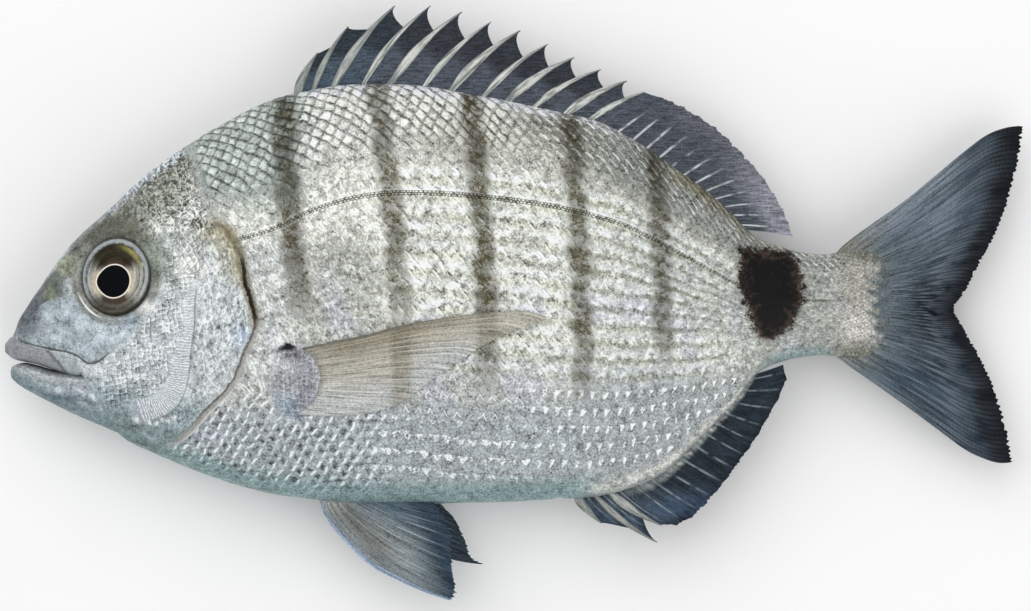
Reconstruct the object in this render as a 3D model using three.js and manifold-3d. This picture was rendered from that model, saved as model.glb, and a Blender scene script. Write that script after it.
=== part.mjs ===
// A whole white seabream, raw and uncut, lying on its right flank as one solid.
// Millimetres. +X runs from the snout to the tail, +Y from the belly to the back, +Z up.
// The origin is on the table, under the middle of the fish's length and depth.

import * as THREE from "three";
import { mergeVertices } from "three/addons/utils/BufferGeometryUtils.js";
import Module from "manifold-3d";

const wasm = await Module();
wasm.setup();

// How the fish lies
const REST_DEPTH = 17.4; // from the plane of symmetry down to the table
const TAIL_SAG = 7; // how far the tail fin's tip sinks towards the table
const TAIL_SAG_FROM = 58; // X where the tail begins to sink
const FIN_SAG = 4; // how far the tips of the fins under the belly sink
const HALF_LENGTH = 140.5;
const HALF_DEPTH = 82; // of the whole fish, fins spread

// Outlines of the body seen from its side: [X, Y]
const BACK_LINE = [
  [-140, -11.8], [-138.1, -8.2], [-136.4, -4.1], [-132, 2.6], [-123.2, 15.1], [-111.7, 26],
  [-99.3, 37.1], [-82.8, 48], [-66.3, 56], [-49.8, 59.7], [-36.9, 60.2], [-24.2, 59.4],
  [-9.6, 56.9], [16.2, 51.6], [24.8, 49], [34.1, 43.7], [47.6, 34.4], [58.7, 25.3],
  [65.7, 18.2], [72.1, 15.5], [82.2, 13.3], [91.9, 14.3], [96.8, 14.6], [101.2, 11.3], [104.2, 3.6],
];
const BELLY_LINE = [
  [-140, -12.1], [-135.3, -14.3], [-127.6, -16.2], [-119.6, -20.1], [-115, -27.2], [-108.9, -36],
  [-99.3, -41.4], [-86.9, -46.5], [-70.4, -51.7], [-54.5, -54.3], [-45.7, -54.9], [-22, -55.1],
  [5.2, -54.3], [22, -53.1], [32.7, -50.6], [41.2, -46.2], [51.7, -36], [60, -27.5], [66, -19.5],
  [72.9, -16.1], [83.6, -14.4], [91.9, -14.9], [96.8, -14.6], [101.2, -11.3], [104.2, -3.6],
];
// Half of the body's thickness: [X, Z]
const HALF_WIDTH = [
  [-140, 4.2], [-133.7, 6.8], [-125.4, 9.2], [-114.4, 11.8], [-100.7, 14.5], [-86.9, 16.4],
  [-73.2, 17.7], [-59.4, 18.4], [-45.7, 18.6], [-31.9, 18.4], [-18.2, 17.9], [-4.4, 17], [9.4, 15.7],
  [23.1, 13.9], [36.9, 11.7], [50.6, 9.3], [64.4, 7.2], [78.1, 5.3], [90, 3.4], [98, 1.9], [104.2, 1],
];
const BACK_RIDGE = 0.25; // how much sharper than an ellipse the back is
const BELLY_KEEL = -0.1; // and the belly, which is blunter

// The jaws, each a wedge across the whole snout
const LIP_TOP = [[-140.5, -11.3], [-138.7, -9.4], [-134, -11.1], [-125.1, -13.1], [-118.8, -15.3], [-116.9, -17.1]];
const LIP_LOW = [[-140.5, -13.5], [-138.1, -15.4], [-131.5, -16.9], [-123.5, -19.4], [-119.4, -20.4], [-116.9, -18.7]];
const LIP_WIDTH = [[-140.5, 4.6], [-138.9, 5.6], [-135.3, 7.4], [-129.8, 9.2], [-125.1, 10.6], [-116.9, 12.4]];
const JAW_TOP = [[-139, -18.4], [-135.3, -16.9], [-131.5, -16.6], [-127.1, -17.6], [-118.5, -19.5], [-107.5, -24.5]];
const JAW_CHIN = [[-139, -18.7], [-136.7, -22.1], [-128.7, -26.9], [-119.9, -31.2], [-107.5, -36.3]];
const JAW_WIDTH = [[-139, 4.4], [-133.7, 6.8], [-125.4, 9.4], [-117.2, 11.4], [-107.5, 12]];

// The eye
const EYE = { x: -109.7, y: 7.2, across: 9.4, high: 10.4, bulge: 1.7, depth: 5 };

// The gill cover's free edge, and the line inside the cheek where the cover begins
const GILL_EDGE = [
  [-81.1, 22], [-78.1, 19], [-75.4, 13], [-74, 5.2], [-71.4, -5.5], [-74.2, -13.3], [-78.1, -22.3],
  [-84.7, -28.9], [-90.2, -34.9], [-96.5, -39.3],
];
const GILL_FRONT = [[-92, 14], [-90, 0], [-92, -18], [-102, -33]];
const GILL_LIFT = 0.7;

// The tail fin
const TAIL_ROOT = [[87.2, 12.7], [95.2, 9.6], [99, 5], [100.1, 0], [99, -5.2], [95.2, -10.2], [87.2, -14]];
const TAIL_EDGE = [
  [140.5, 49], [138.9, 39.9], [136.1, 28.9], [132, 18.4], [127.9, 10.7], [123.8, 3], [121, -0.8],
  [121.6, -3.6], [124, -7.7], [127.9, -14.6], [132, -23.4], [135.6, -34.9], [137, -44],
];
const TAIL_UPPER = [
  [87.2, 12.7], [90.8, 16.5], [98.7, 22.3], [107, 28.1], [115.2, 34.8], [123.5, 41.7], [129.8, 46.3],
  [135.3, 48.4], [140.5, 49],
];
const TAIL_LOWER = [
  [87.2, -14], [90.8, -16.8], [98.7, -22.3], [107, -28.1], [115.2, -34.1], [123.5, -40.2],
  [129, -42.9], [133.1, -44.1], [137, -44],
];

// The back fin: twelve spines, then soft rays. Each ray's foot is [ray, X] and its tip [ray, X, Y].
const BACK_FIN = {
  spines: 12,
  rays: 24,
  feet: [
    [0, -59.4], [1, -54.9], [2, -49.2], [3, -41.2], [4, -33.8], [5, -24.5], [6, -17.1], [7, -8.2],
    [8, -1.5], [9, 5.8], [10, 14.7], [11, 21.3], [12, 26.7], [18, 48.1], [24, 63.8],
  ],
  tips: [
    [0, -54.5, 68.8], [1, -46.1, 76.1], [2, -33.3, 81.8], [3, -23.5, 81.8], [4, -14.9, 80],
    [5, -6.8, 77.3], [6, 1.2, 74.9], [7, 8.8, 71.2], [8, 16, 67.5], [9, 23.4, 64.2], [10, 30.5, 61],
    [11, 35.5, 58], [12, 40.7, 56.4], [14, 46.2, 54], [16, 55, 48.3], [18, 61.9, 41.8],
    [20, 68.5, 34.1], [22, 73.7, 25.6], [24, 76.2, 18.4],
  ],
  notch: 0.3, // how much of the next spine stands clear of the web
  bow: 0.06, // how far a ray bends forward, as a share of its length
  spineFoot: 1.1, // radius
  spineTip: 0.35,
  sink: 3, // how deep the feet stand in the body
  side: 1,
};
// The fin behind the vent: three spines, then soft rays
const VENT_FIN = {
  spines: 3,
  rays: 14,
  feet: [[0, 17.6], [1, 22.6], [2, 26.7], [3, 31.4], [8, 50.6], [14, 66.3]],
  tips: [
    [0, 23.5, -60.5], [1, 38.8, -65.8], [2, 39.9, -61.1], [3, 44.3, -61.2], [4, 48.7, -59],
    [6, 55.8, -51.4], [8, 61.6, -43.7], [10, 66.8, -36.2], [12, 72.3, -26.4], [14, 74.9, -17.9],
  ],
  notch: 0.3,
  bow: 0.05,
  spineFoot: 1,
  spineTip: 0.35,
  sink: 3,
  side: -1,
};

// The paired fins under the breast; the left one lies nearer the eye that looks down on the fish
const NEAR_PELVIC = {
  root: [[-54.5, -52.2], [-46.8, -52], [-36, -52.4], [-23.7, -53]],
  edge: [[-17.6, -82], [-16.2, -79.5], [-17.2, -72.1], [-17.6, -63.3], [-20.6, -57.2]],
  first: [[-54.5, -52.2], [-52.3, -58.9], [-47, -65.5], [-39.9, -72.2], [-32.5, -76.2], [-24.5, -79.8], [-17.6, -82]],
  last: [[-23.7, -53], [-22, -55.4], [-20.6, -57.2]],
  aside: 4,
};
const FAR_PELVIC = {
  root: [[-48.4, -52], [-37.4, -52.4], [-22, -53]],
  edge: [[-8.8, -72.1], [-12.1, -70], [-13.8, -65.5], [-16.8, -59.7], [-19.8, -56.9]],
  first: [[-48.4, -52], [-37.4, -61.4], [-23.7, -68.4], [-16.2, -71], [-8.8, -72.1]],
  last: [[-22, -53], [-19.8, -56.9]],
  aside: -4,
};
// The breast fin lies back along the flank
const BREAST_FIN = {
  root: [[-62.7, -13.2], [-58.6, -15.1], [-55.8, -18.4], [-55, -22], [-56.4, -26.4], [-60.5, -30.3]],
  edge: [[10.2, -4.4], [-6.6, -11], [-19, -18.7], [-31.6, -27.5], [-42.6, -30.5]],
  first: [[-62.7, -13.2], [-42.6, -9.1], [-28.1, -5.5], [-13.2, -3.2], [0, -2.2], [5.2, -2.8], [10.2, -4.4]],
  last: [[-60.5, -30.3], [-51.7, -30.8], [-42.6, -30.5]],
  lift: 1.8, // of its tip off the flank
  thickness: 0.9,
};
const WEB = { root: 1.6, edge: 0.8 }; // thickness of a fin's web

// A smooth function through [x, y, ...] points, which returns the value in the given column.
function profile(points, column = 1) {
  const last = points.length - 1;
  const slope = points.map((_, i) => {
    const a = points[Math.max(i - 1, 0)];
    const b = points[Math.min(i + 1, last)];
    return (b[column] - a[column]) / (b[0] - a[0]);
  });
  return (x) => {
    let i = 0;
    while (i < last - 1 && x > points[i + 1][0]) i += 1;
    const step = points[i + 1][0] - points[i][0];
    const t = THREE.MathUtils.clamp((x - points[i][0]) / step, 0, 1);
    const [p, q] = [points[i][column], points[i + 1][column]];
    const rest = (1 - t) * (1 - t);
    return (
      p * rest * (1 + 2 * t) + q * t * t * (3 - 2 * t) +
      step * (slope[i] * t * rest - slope[i + 1] * t * t * (1 - t))
    );
  };
}

const planCurve = (points) => new THREE.SplineCurve(points.map(([x, y]) => new THREE.Vector2(x, y)));

const back = profile(BACK_LINE);
const belly = profile(BELLY_LINE);
const halfWidth = profile(HALF_WIDTH);

// How far the plane of symmetry sags at a place.
function sag(x, y) {
  const tail = THREE.MathUtils.clamp((x - TAIL_SAG_FROM) / (HALF_LENGTH - TAIL_SAG_FROM), 0, 1);
  const under = THREE.MathUtils.clamp((-56 - y) / (HALF_DEPTH - 56), 0, 1);
  return TAIL_SAG * tail * tail + (x < 0 ? FIN_SAG * under * under : 0);
}

// A point of the fish's own symmetric shape, laid down on the table.
const laid = (x, y, z) => [x, y, z + REST_DEPTH - sag(x, y)];

// How far out the body's surface is, as a share of its half width, where cos is the height on it.
function roundness(cos) {
  const sharper = cos > 0 ? BACK_RIDGE : BELLY_KEEL;
  return Math.pow(Math.max(1 - cos * cos, 0), (1 + sharper * Math.abs(cos)) / 2);
}

// The flank's distance from the plane of symmetry.
function flank(x, y) {
  const [top, low] = [back(x), belly(x)];
  const cos = THREE.MathUtils.clamp((2 * y - top - low) / (top - low), -1, 1);
  return halfWidth(x) * roundness(cos);
}

// A solid from rings of points, each a closed loop of the same even length.
function ringSolid(rings) {
  const size = rings[0].length;
  const index = [];
  const quad = (a, b, c, d) => index.push(a, b, c, a, c, d);
  for (let r = 0; r + 1 < rings.length; r += 1) {
    for (let i = 0; i < size; i += 1) {
      const next = (i + 1) % size;
      quad(r * size + i, r * size + next, (r + 1) * size + next, (r + 1) * size + i);
    }
  }
  const end = (rings.length - 1) * size;
  for (let i = 0; i + 1 < size / 2; i += 1) {
    quad(size - 1 - i, size - 2 - i, i + 1, i);
    quad(end + i, end + i + 1, end + size - 2 - i, end + size - 1 - i);
  }
  const triVerts = new Uint32Array(index);
  const vertProperties = new Float32Array(rings.flat(2));
  const made = new wasm.Manifold(new wasm.Mesh({ numProp: 3, vertProperties, triVerts }));
  if (made.volume() > 0) return made;
  for (let i = 0; i < triVerts.length; i += 3) {
    [triVerts[i], triVerts[i + 1]] = [triVerts[i + 1], triVerts[i]];
  }
  return new wasm.Manifold(new wasm.Mesh({ numProp: 3, vertProperties, triVerts }));
}

// A solid from a closed three.js geometry.
function geometrySolid(geometry) {
  geometry.deleteAttribute("normal");
  geometry.deleteAttribute("uv");
  const merged = mergeVertices(geometry, 1e-4);
  const vertProperties = merged.attributes.position.array;
  const triVerts = new Uint32Array(merged.index.array);
  return new wasm.Manifold(new wasm.Mesh({ numProp: 3, vertProperties, triVerts }));
}

// A rounded body between two outlines: rings across it, close together at its rounded ends.
function loft({ from, to, top, low, width, nose, tail, stations, around, crowd }) {
  const rings = [];
  for (let i = 0; i <= stations; i += 1) {
    const x = from + (to - from) * Math.pow(i / stations, crowd);
    const fromEnd = THREE.MathUtils.clamp(Math.min((x - from) / nose, (to - x) / tail), 0.03, 1);
    const full = Math.sqrt(1 - (1 - fromEnd) * (1 - fromEnd));
    const middle = (top(x) + low(x)) / 2;
    const half = ((top(x) - low(x)) / 2) * full;
    const ring = [];
    for (let j = 0; j < around; j += 1) {
      const angle = ((j + 0.5) / around) * 2 * Math.PI;
      const cos = Math.cos(angle);
      const out = width(x) * full * roundness(cos) * Math.sign(Math.sin(angle));
      ring.push(laid(x, middle + half * cos, out));
    }
    rings.push(ring);
  }
  return ringSolid(rings);
}

// A thin solid along a sheet: place(u, v) gives [x, y, z] at its middle, thick(u, v) its thickness.
function sheet(us, vs, place, thick) {
  const rings = us.map((u) => {
    const face = (side) =>
      vs.map((v) => {
        const [x, y, z] = place(u, v);
        return laid(x, y, z + (side * thick(u, v)) / 2);
      });
    return [...face(1), ...face(-1).reverse()];
  });
  return ringSolid(rings);
}

const steps = (count) => Array.from({ length: count + 1 }, (_, i) => i / count);

// The web of a fin or plate between four edges: root and edge run along u, first and last along v.
function patch({ root, edge, first, last }) {
  const [rootLine, edgeLine, firstLine, lastLine] = [root, edge, first, last].map(planCurve);
  return (u, v) => {
    const [a, b] = [rootLine.getPoint(u), edgeLine.getPoint(u)];
    const [c, d] = [firstLine.getPoint(v), lastLine.getPoint(v)];
    const mixed = (key) => {
      const corners =
        (1 - u) * (1 - v) * rootLine.getPoint(0)[key] + u * (1 - v) * rootLine.getPoint(1)[key] +
        (1 - u) * v * edgeLine.getPoint(0)[key] + u * v * edgeLine.getPoint(1)[key];
      return (1 - v) * a[key] + v * b[key] + (1 - u) * c[key] + u * d[key] - corners;
    };
    return [mixed("x"), mixed("y")];
  };
}

// Where a point on ray n of a back or vent fin is: v runs from its foot to its tip.
function rayPoint(fin, n, v) {
  const outline = fin.side > 0 ? back : belly;
  const footX = profile(fin.feet)(n);
  const foot = new THREE.Vector2(footX, outline(footX) - fin.side * fin.sink);
  const tip = new THREE.Vector2(profile(fin.tips)(n), profile(fin.tips, 2)(n));
  const along = tip.clone().sub(foot);
  const forward = new THREE.Vector2(-along.y, along.x).multiplyScalar(fin.side * fin.bow * 4 * v * (1 - v));
  return foot.addScaledVector(along, v).add(forward);
}

// A curved spine that tapers from its foot to its tip.
function spine(fin, n) {
  const sides = 6;
  const rings = steps(4).map((v) => {
    const p = rayPoint(fin, n, v);
    const ahead = rayPoint(fin, n, v + 0.01).sub(rayPoint(fin, n, v - 0.01)).normalize();
    const radius = THREE.MathUtils.lerp(fin.spineFoot, fin.spineTip, v);
    return Array.from({ length: sides }, (_, i) => {
      const angle = ((i + 0.5) / sides) * 2 * Math.PI;
      const across = radius * Math.cos(angle);
      return laid(p.x - ahead.y * across, p.y + ahead.x * across, radius * Math.sin(angle));
    });
  });
  return ringSolid(rings);
}

// A back or vent fin: its web, scalloped between the spines, and the spines.
function rayedFin(fin) {
  const us = [];
  for (let n = 0; n < fin.rays; n += 1) {
    const shares = n < fin.spines ? [0, 0.4, 0.9] : [0];
    us.push(...shares.map((share) => n + share));
  }
  us.push(fin.rays);
  const reach = (u) => {
    const share = u - Math.floor(u);
    return u < fin.spines - 1 ? 1 - fin.notch * Math.pow(share, 0.65) : 1;
  };
  const place = (u, v) => {
    const n = Math.floor(u);
    const share = u - n;
    const a = rayPoint(fin, n, v * reach(u));
    const b = rayPoint(fin, Math.min(n + 1, fin.rays), v * reach(u));
    a.lerp(b, share);
    return [a.x, a.y, 0];
  };
  const web = sheet(us, steps(3), place, (u, v) => THREE.MathUtils.lerp(WEB.root, WEB.edge, v));
  return Array.from({ length: fin.spines }, (_, n) => spine(fin, n)).reduce((all, s) => all.add(s), web);
}

// A fin whose web lies in one plane, leaning away from the fish's own by aside at its edge.
function flatFin(outline, across, along, aside = 0) {
  const at = patch(outline);
  const place = (u, v) => [...at(u, v), aside * (0.3 + 0.7 * v)];
  return sheet(steps(across), steps(along), place, (u, v) => THREE.MathUtils.lerp(WEB.root, WEB.edge, v));
}

// A plate over the flank on one side; lift(v) is how far its middle stands off the skin.
function flankPlate(outline, side, across, along, thickness, lift) {
  const at = patch(outline);
  const place = (u, v) => {
    const [x, y] = at(u, v);
    const out = Math.min(flank(x, y) + lift(v), side < 0 ? REST_DEPTH - thickness / 2 - 0.05 : Infinity);
    return [x, y, side * out];
  };
  return sheet(steps(across), steps(along), place, () => thickness);
}

// A low dome on the flank, square to the skin there, such as an eye.
function dome({ x, y, across, high, bulge, depth }, side) {
  const points = [new THREE.Vector2(0, -depth), new THREE.Vector2(1, -depth)];
  const rises = 4;
  for (let i = 0; i <= rises; i += 1) {
    const angle = (i / rises) * (Math.PI / 2);
    points.push(new THREE.Vector2(i === rises ? 0 : Math.cos(angle), bulge * Math.sin(angle)));
  }
  const geometry = new THREE.LatheGeometry(points, 20);
  geometry.scale(across, 1, high);
  const slopeX = (flank(x + 1, y) - flank(x - 1, y)) / 2;
  const slopeY = (flank(x, y + 1) - flank(x, y - 1)) / 2;
  const normal = new THREE.Vector3(-slopeX, -slopeY, 1).normalize();
  const turn = new THREE.Matrix4().makeRotationX(Math.PI / 2);
  const lean = new THREE.Quaternion().setFromUnitVectors(new THREE.Vector3(0, 0, 1), normal);
  geometry.applyMatrix4(turn);
  geometry.applyQuaternion(lean);
  geometry.translate(x, y, flank(x, y));
  if (side > 0) {
    geometry.translate(0, 0, REST_DEPTH);
    return geometrySolid(geometry);
  }
  return geometrySolid(geometry).mirror([0, 0, 1]).translate([0, 0, REST_DEPTH]);
}

const trunk = loft({
  from: -140, to: 104.2, top: back, low: belly, width: halfWidth,
  nose: 5, tail: 3, stations: 52, around: 36, crowd: 1.25,
});
const lip = loft({
  from: -140.5, to: -116.9, top: profile(LIP_TOP), low: profile(LIP_LOW), width: profile(LIP_WIDTH),
  nose: 4, tail: 4, stations: 10, around: 16, crowd: 1,
});
const jaw = loft({
  from: -139, to: -107.5, top: profile(JAW_TOP), low: profile(JAW_CHIN), width: profile(JAW_WIDTH),
  nose: 5, tail: 3, stations: 10, around: 16, crowd: 1,
});

const gillCover = {
  root: GILL_FRONT,
  edge: GILL_EDGE,
  first: [GILL_FRONT[0], GILL_EDGE[0]],
  last: [GILL_FRONT[GILL_FRONT.length - 1], GILL_EDGE[GILL_EDGE.length - 1]],
};

let fish = wasm.Manifold.union([trunk, lip, jaw, rayedFin(BACK_FIN), rayedFin(VENT_FIN)]);
const tailFin = { root: TAIL_ROOT, edge: TAIL_EDGE, first: TAIL_UPPER, last: TAIL_LOWER };
fish = fish.add(flatFin(tailFin, 24, 7));
fish = fish.add(flatFin(NEAR_PELVIC, 8, 6, NEAR_PELVIC.aside));
fish = fish.add(flatFin(FAR_PELVIC, 6, 5, FAR_PELVIC.aside));
for (const side of [1, -1]) {
  fish = fish.add(dome(EYE, side));
  fish = fish.add(flankPlate(gillCover, side, 10, 3, 1.4, (v) => -1.9 + (1.9 + GILL_LIFT - 0.7) * v));
  fish = fish.add(
    flankPlate(BREAST_FIN, side, 8, 8, BREAST_FIN.thickness, (v) => -0.6 + (0.6 + BREAST_FIN.lift) * v),
  );
}
// The flank is pressed flat where it meets the table.
fish = fish.trimByPlane([0, 0, 1], 0);
const box = fish.boundingBox();
fish = fish.translate([-(box.min[0] + box.max[0]) / 2, -(box.min[1] + box.max[1]) / 2, 0]);

const cut = fish.getMesh();
const geometry = new THREE.BufferGeometry();
geometry.setAttribute("position", new THREE.BufferAttribute(new Float32Array(cut.vertProperties), 3));
geometry.setIndex(new THREE.BufferAttribute(new Uint32Array(cut.triVerts), 1));
geometry.computeVertexNormals();

const skin = new THREE.MeshStandardMaterial({ color: 0xb4b8b4, roughness: 0.35, metalness: 0.35 });
const mesh = new THREE.Mesh(geometry, skin);
mesh.name = "fish";

const group = new THREE.Group();
group.add(mesh);
export default group;
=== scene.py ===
import math

import bpy
import numpy as np
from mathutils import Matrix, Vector


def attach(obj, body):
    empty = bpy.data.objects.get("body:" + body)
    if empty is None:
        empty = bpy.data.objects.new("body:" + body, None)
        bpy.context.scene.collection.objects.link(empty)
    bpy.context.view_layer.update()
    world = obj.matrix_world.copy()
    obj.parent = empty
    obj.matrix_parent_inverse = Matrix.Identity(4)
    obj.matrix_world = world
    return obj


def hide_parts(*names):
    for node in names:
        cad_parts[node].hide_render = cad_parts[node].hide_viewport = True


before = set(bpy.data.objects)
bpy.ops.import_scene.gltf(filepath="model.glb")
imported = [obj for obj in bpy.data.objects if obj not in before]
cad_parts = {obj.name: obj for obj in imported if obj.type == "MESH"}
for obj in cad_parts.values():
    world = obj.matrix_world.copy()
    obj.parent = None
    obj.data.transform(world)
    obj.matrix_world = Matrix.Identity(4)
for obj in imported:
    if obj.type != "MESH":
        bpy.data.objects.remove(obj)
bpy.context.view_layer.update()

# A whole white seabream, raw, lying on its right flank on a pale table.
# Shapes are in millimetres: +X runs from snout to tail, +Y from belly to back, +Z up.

MM = 0.001

# How the fish lies
REST_DEPTH = 17.4  # from the plane of symmetry down to the table
TAIL_SAG = 7
TAIL_SAG_FROM = 58
FIN_SAG = 4
FIN_SAG_FROM = -56
HALF_LENGTH = 140.5
HALF_DEPTH = 82

# Outlines of the body seen from its side: [X, Y]
BACK_LINE = [
    [-140, -11.8], [-138.1, -8.2], [-136.4, -4.1], [-132, 2.6], [-123.2, 15.1], [-111.7, 26],
    [-99.3, 37.1], [-82.8, 48], [-66.3, 56], [-49.8, 59.7], [-36.9, 60.2], [-24.2, 59.4],
    [-9.6, 56.9], [16.2, 51.6], [24.8, 49], [34.1, 43.7], [47.6, 34.4], [58.7, 25.3],
    [65.7, 18.2], [72.1, 15.5], [82.2, 13.3], [91.9, 14.3], [96.8, 14.6], [101.2, 11.3], [104.2, 3.6],
]
BELLY_REAR = [
    [-99.3, -41.4], [-86.9, -46.5], [-70.4, -51.7], [-54.5, -54.3], [-45.7, -54.9], [-22, -55.1],
    [5.2, -54.3], [22, -53.1], [32.7, -50.6], [41.2, -46.2], [51.7, -36], [60, -27.5], [66, -19.5],
    [72.9, -16.1], [83.6, -14.4], [91.9, -14.9], [96.8, -14.6], [101.2, -11.3], [104.2, -3.6],
]
MOUTH_LINE = [
    [-140, -12.1], [-135.3, -14.3], [-127.6, -16.2], [-119.6, -20.1], [-115, -27.2], [-108.9, -36],
]
CHIN_LINE = [[-139, -20.4], [-138, -22], [-135.8, -23.5], [-128.7, -27.2], [-119.9, -31.4], [-111.7, -35.3]]
# Half of the body's thickness: [X, Z]
HALF_WIDTH = [
    [-140, 4.2], [-133.7, 6.8], [-125.4, 9.2], [-114.4, 11.8], [-100.7, 14.5], [-86.9, 16.4],
    [-73.2, 17.7], [-59.4, 18.4], [-45.7, 18.6], [-31.9, 18.4], [-18.2, 17.9], [-4.4, 17], [9.4, 15.7],
    [23.1, 13.9], [36.9, 11.7], [50.6, 9.3], [64.4, 7.2], [78.1, 5.3], [90, 3.2], [98, 1.2], [104.2, 0.4],
]
BACK_RIDGE = 0.25
BELLY_KEEL = -0.1

# The jaws
LIP_TOP = [
    [-140.5, -11.3], [-138.7, -9.4], [-134, -10.3], [-125.1, -12.5], [-118.8, -14.7], [-116.9, -16.7],
]
LIP_LOW = [
    [-140.5, -13.5], [-138.1, -15.4], [-131.5, -16.9], [-123.5, -19.6], [-119.4, -20.2], [-116.9, -17.6],
]
JAW_TOP = [
    [-139, -18.6], [-138.5, -17.4], [-135.3, -16.4], [-131.5, -17.1], [-127.1, -18.4], [-118.5, -19.5],
    [-107.5, -24.5],
]
LIP_SEAM = [[-128.7, -12.5], [-126, -15.4], [-123.2, -18.9]]
JAW_CREASE = [[-117.2, -18], [-116.6, -21.5], [-115.2, -24.5], [-113.4, -26.5]]
JAW_CHIN = [
    [-139, -19.4], [-138.5, -20.8], [-135.8, -23], [-128.7, -26.9], [-119.9, -31.2], [-107.5, -36.3],
]

# The head
EYE = {"x": -109.4, "y": 7.3, "across": 9.8, "high": 10.7, "bulge": 1.3}
GILL_EDGE = [
    [-81.1, 22], [-78.1, 19], [-75.4, 13], [-74, 5.2], [-71.4, -5.5], [-74.2, -13.3], [-78.1, -22.3],
    [-84.7, -28.9], [-90.2, -34.9], [-96.5, -39.3],
]
CHEEK_LINE = [
    [-86.6, 6], [-87.4, 1], [-87.6, -6.3], [-88.5, -12.7], [-89, -18.2], [-90, -23.2], [-92.2, -27.8],
    [-96.3, -30.8], [-102, -32.6],
]
CHEEK_BAND = [[-33, 6.8], [-26, 6.5], [-18, 5], [-12, 4], [-6, 3], [1, 2.3], [6, 1.4]]  # [Y, width]
CHEEK_SCALES = {"turn": -38, "length": 1.8, "width": 0.95}
COVER_SCALES = {"turn": -10, "length": 1.9, "width": 1.3}
TAIL_ROOT_SCALES = {"middle": [66, 0], "length": 1.7, "width": 0.62}
FIN_ROOT_SCALES = {"turn": -50, "length": 2, "width": 0.85}
FIN_ROOT = {"x": -60.2, "y": -21.6, "across": 6, "high": 9.2}
VENT = (12, -55)
PIT_MIDDLE = (-62.2, -11.7)
PIT = [[-65.5, -13.3], [-64, -11.9], [-62.4, -10.9], [-61, -11.5], [-59.6, -12.3], [-62, -12.9]]
PLATE_EDGE = [
    [-121.8, 2.1], [-126.5, 1.4], [-131, -1.3], [-133.4, -5.4], [-136.4, -9.8], [-129.2, -12.2],
    [-122.7, -13.4], [-119.5, -14.8], [-117.3, -16.4], [-114.5, -16.1], [-111, -13.6], [-105, -9],
    [-103, -4], [-106, -3.4], [-111, -3.6], [-117, -1.6],
]
NAPE_LINE = [[-91, 47], [-89.6, 42], [-86.9, 35.2], [-84.7, 28.3], [-81.1, 22]]

# The lateral line, and the lattice of scales about it
LATERAL_LINE = [
    [-110, 3], [-95, 10], [-80.9, 15.7], [-64.9, 20.7], [-57.5, 24.4], [-46.5, 28.1], [-36.1, 29.8],
    [-24.3, 30], [-9.6, 29], [5.1, 27.2], [16.2, 25.1], [28.6, 21.6], [39.3, 16.6], [51.7, 9.9], [60, 5.2],
    [64.9, 2.9], [71.2, 1.2], [78.1, 0.7], [104.2, 0.6],
]
ROW_SPACING = [[-110, 2], [-75, 2.25], [-20, 2.55], [10, 2.5], [30, 2.3], [50, 1.95], [70, 1.6], [104, 1.3]]
SCALE_PITCH = [[-110, 2.9], [-75, 3.3], [-40, 3.5], [10, 3.4], [40, 3.1], [70, 2.5], [104, 2]]
ROW_SHIFT = [[-140, 0], [24, 0], [40, 1.4], [50, 3], [60, 5.2], [70, 6.4], [104.2, 6.4]]  # [X, rows]
SCALE_REACH = 0.5  # how far a scale's free edge points back, as a share of the pitch
SCALE_RELIEF = 0.13

# The fins
TAIL = {
    "rays": 24,
    "forks": [0.2, 0.48],  # where each ray forks in two, as a share of its length
    "root": [[87.2, 12.7], [95.2, 9.6], [99, 5], [100.1, 0], [99, -5.2], [95.2, -10.2], [87.2, -14]],
    "edge": [
        [140.5, 49], [138.9, 39.9], [136.1, 28.9], [132, 18.4], [127.9, 10.7], [123.8, 3], [121, -0.8],
        [121.6, -3.6], [124, -7.7], [127.9, -14.6], [132, -23.4], [135.6, -34.9], [137, -44],
    ],
    "first": [
        [90.8, 16.5], [98.7, 22.3], [107, 28.1], [115.2, 34.8], [123.5, 41.7], [129.8, 46.3],
        [135.3, 48.4],
    ],
    "last": [
        [90.8, -16.8], [98.7, -22.3], [107, -28.1], [115.2, -34.1], [123.5, -40.2], [129, -42.9],
        [133.1, -44.1],
    ],
}
BACK_FIN = {
    "spines": 12,
    "rays": 24,
    "feet": [
        [0, -59.4], [1, -54.9], [2, -49.2], [3, -41.2], [4, -33.8], [5, -24.5], [6, -17.1], [7, -8.2],
        [8, -1.5], [9, 5.8], [10, 14.7], [11, 21.3], [12, 26.7], [18, 48.1], [24, 63.8],
    ],
    "tips": [
        [0, -54.5, 68.8], [1, -46.1, 76.1], [2, -33.3, 81.7], [3, -23.5, 81.7], [4, -14.9, 80],
        [5, -6.8, 77.3], [6, 1.2, 74.9], [7, 8.8, 71.2], [8, 16, 67.5], [9, 23.4, 64.2], [10, 30.5, 61],
        [11, 35.5, 58], [12, 40.7, 56.4], [14, 46.2, 54], [16, 55, 48.3], [18, 61.9, 41.8],
        [20, 68.5, 34.1], [22, 73.7, 25.6], [24, 76.2, 18.4],
    ],
    "notch": 0.3,
    "bow": 0.06,
    "sink": 3,
    "side": 1,
}
VENT_FIN = {
    "spines": 3,
    "rays": 14,
    "feet": [[0, 17.6], [1, 22.6], [2, 26.7], [3, 31.4], [8, 50.6], [14, 66.3]],
    "tips": [
        [0, 23.5, -60.5], [1, 38.8, -65.8], [2, 39.9, -61.1], [3, 44.3, -61.2], [4, 48.7, -59],
        [6, 55.8, -51.4], [8, 61.6, -43.7], [10, 66.8, -36.2], [12, 72.3, -26.4], [13, 74.6, -20.9],
        [13.5, 74.9, -18.6], [14, 73.6, -16.9],
    ],
    "notch": 0.3,
    "bow": 0.05,
    "sink": 3,
    "side": -1,
}
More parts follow.
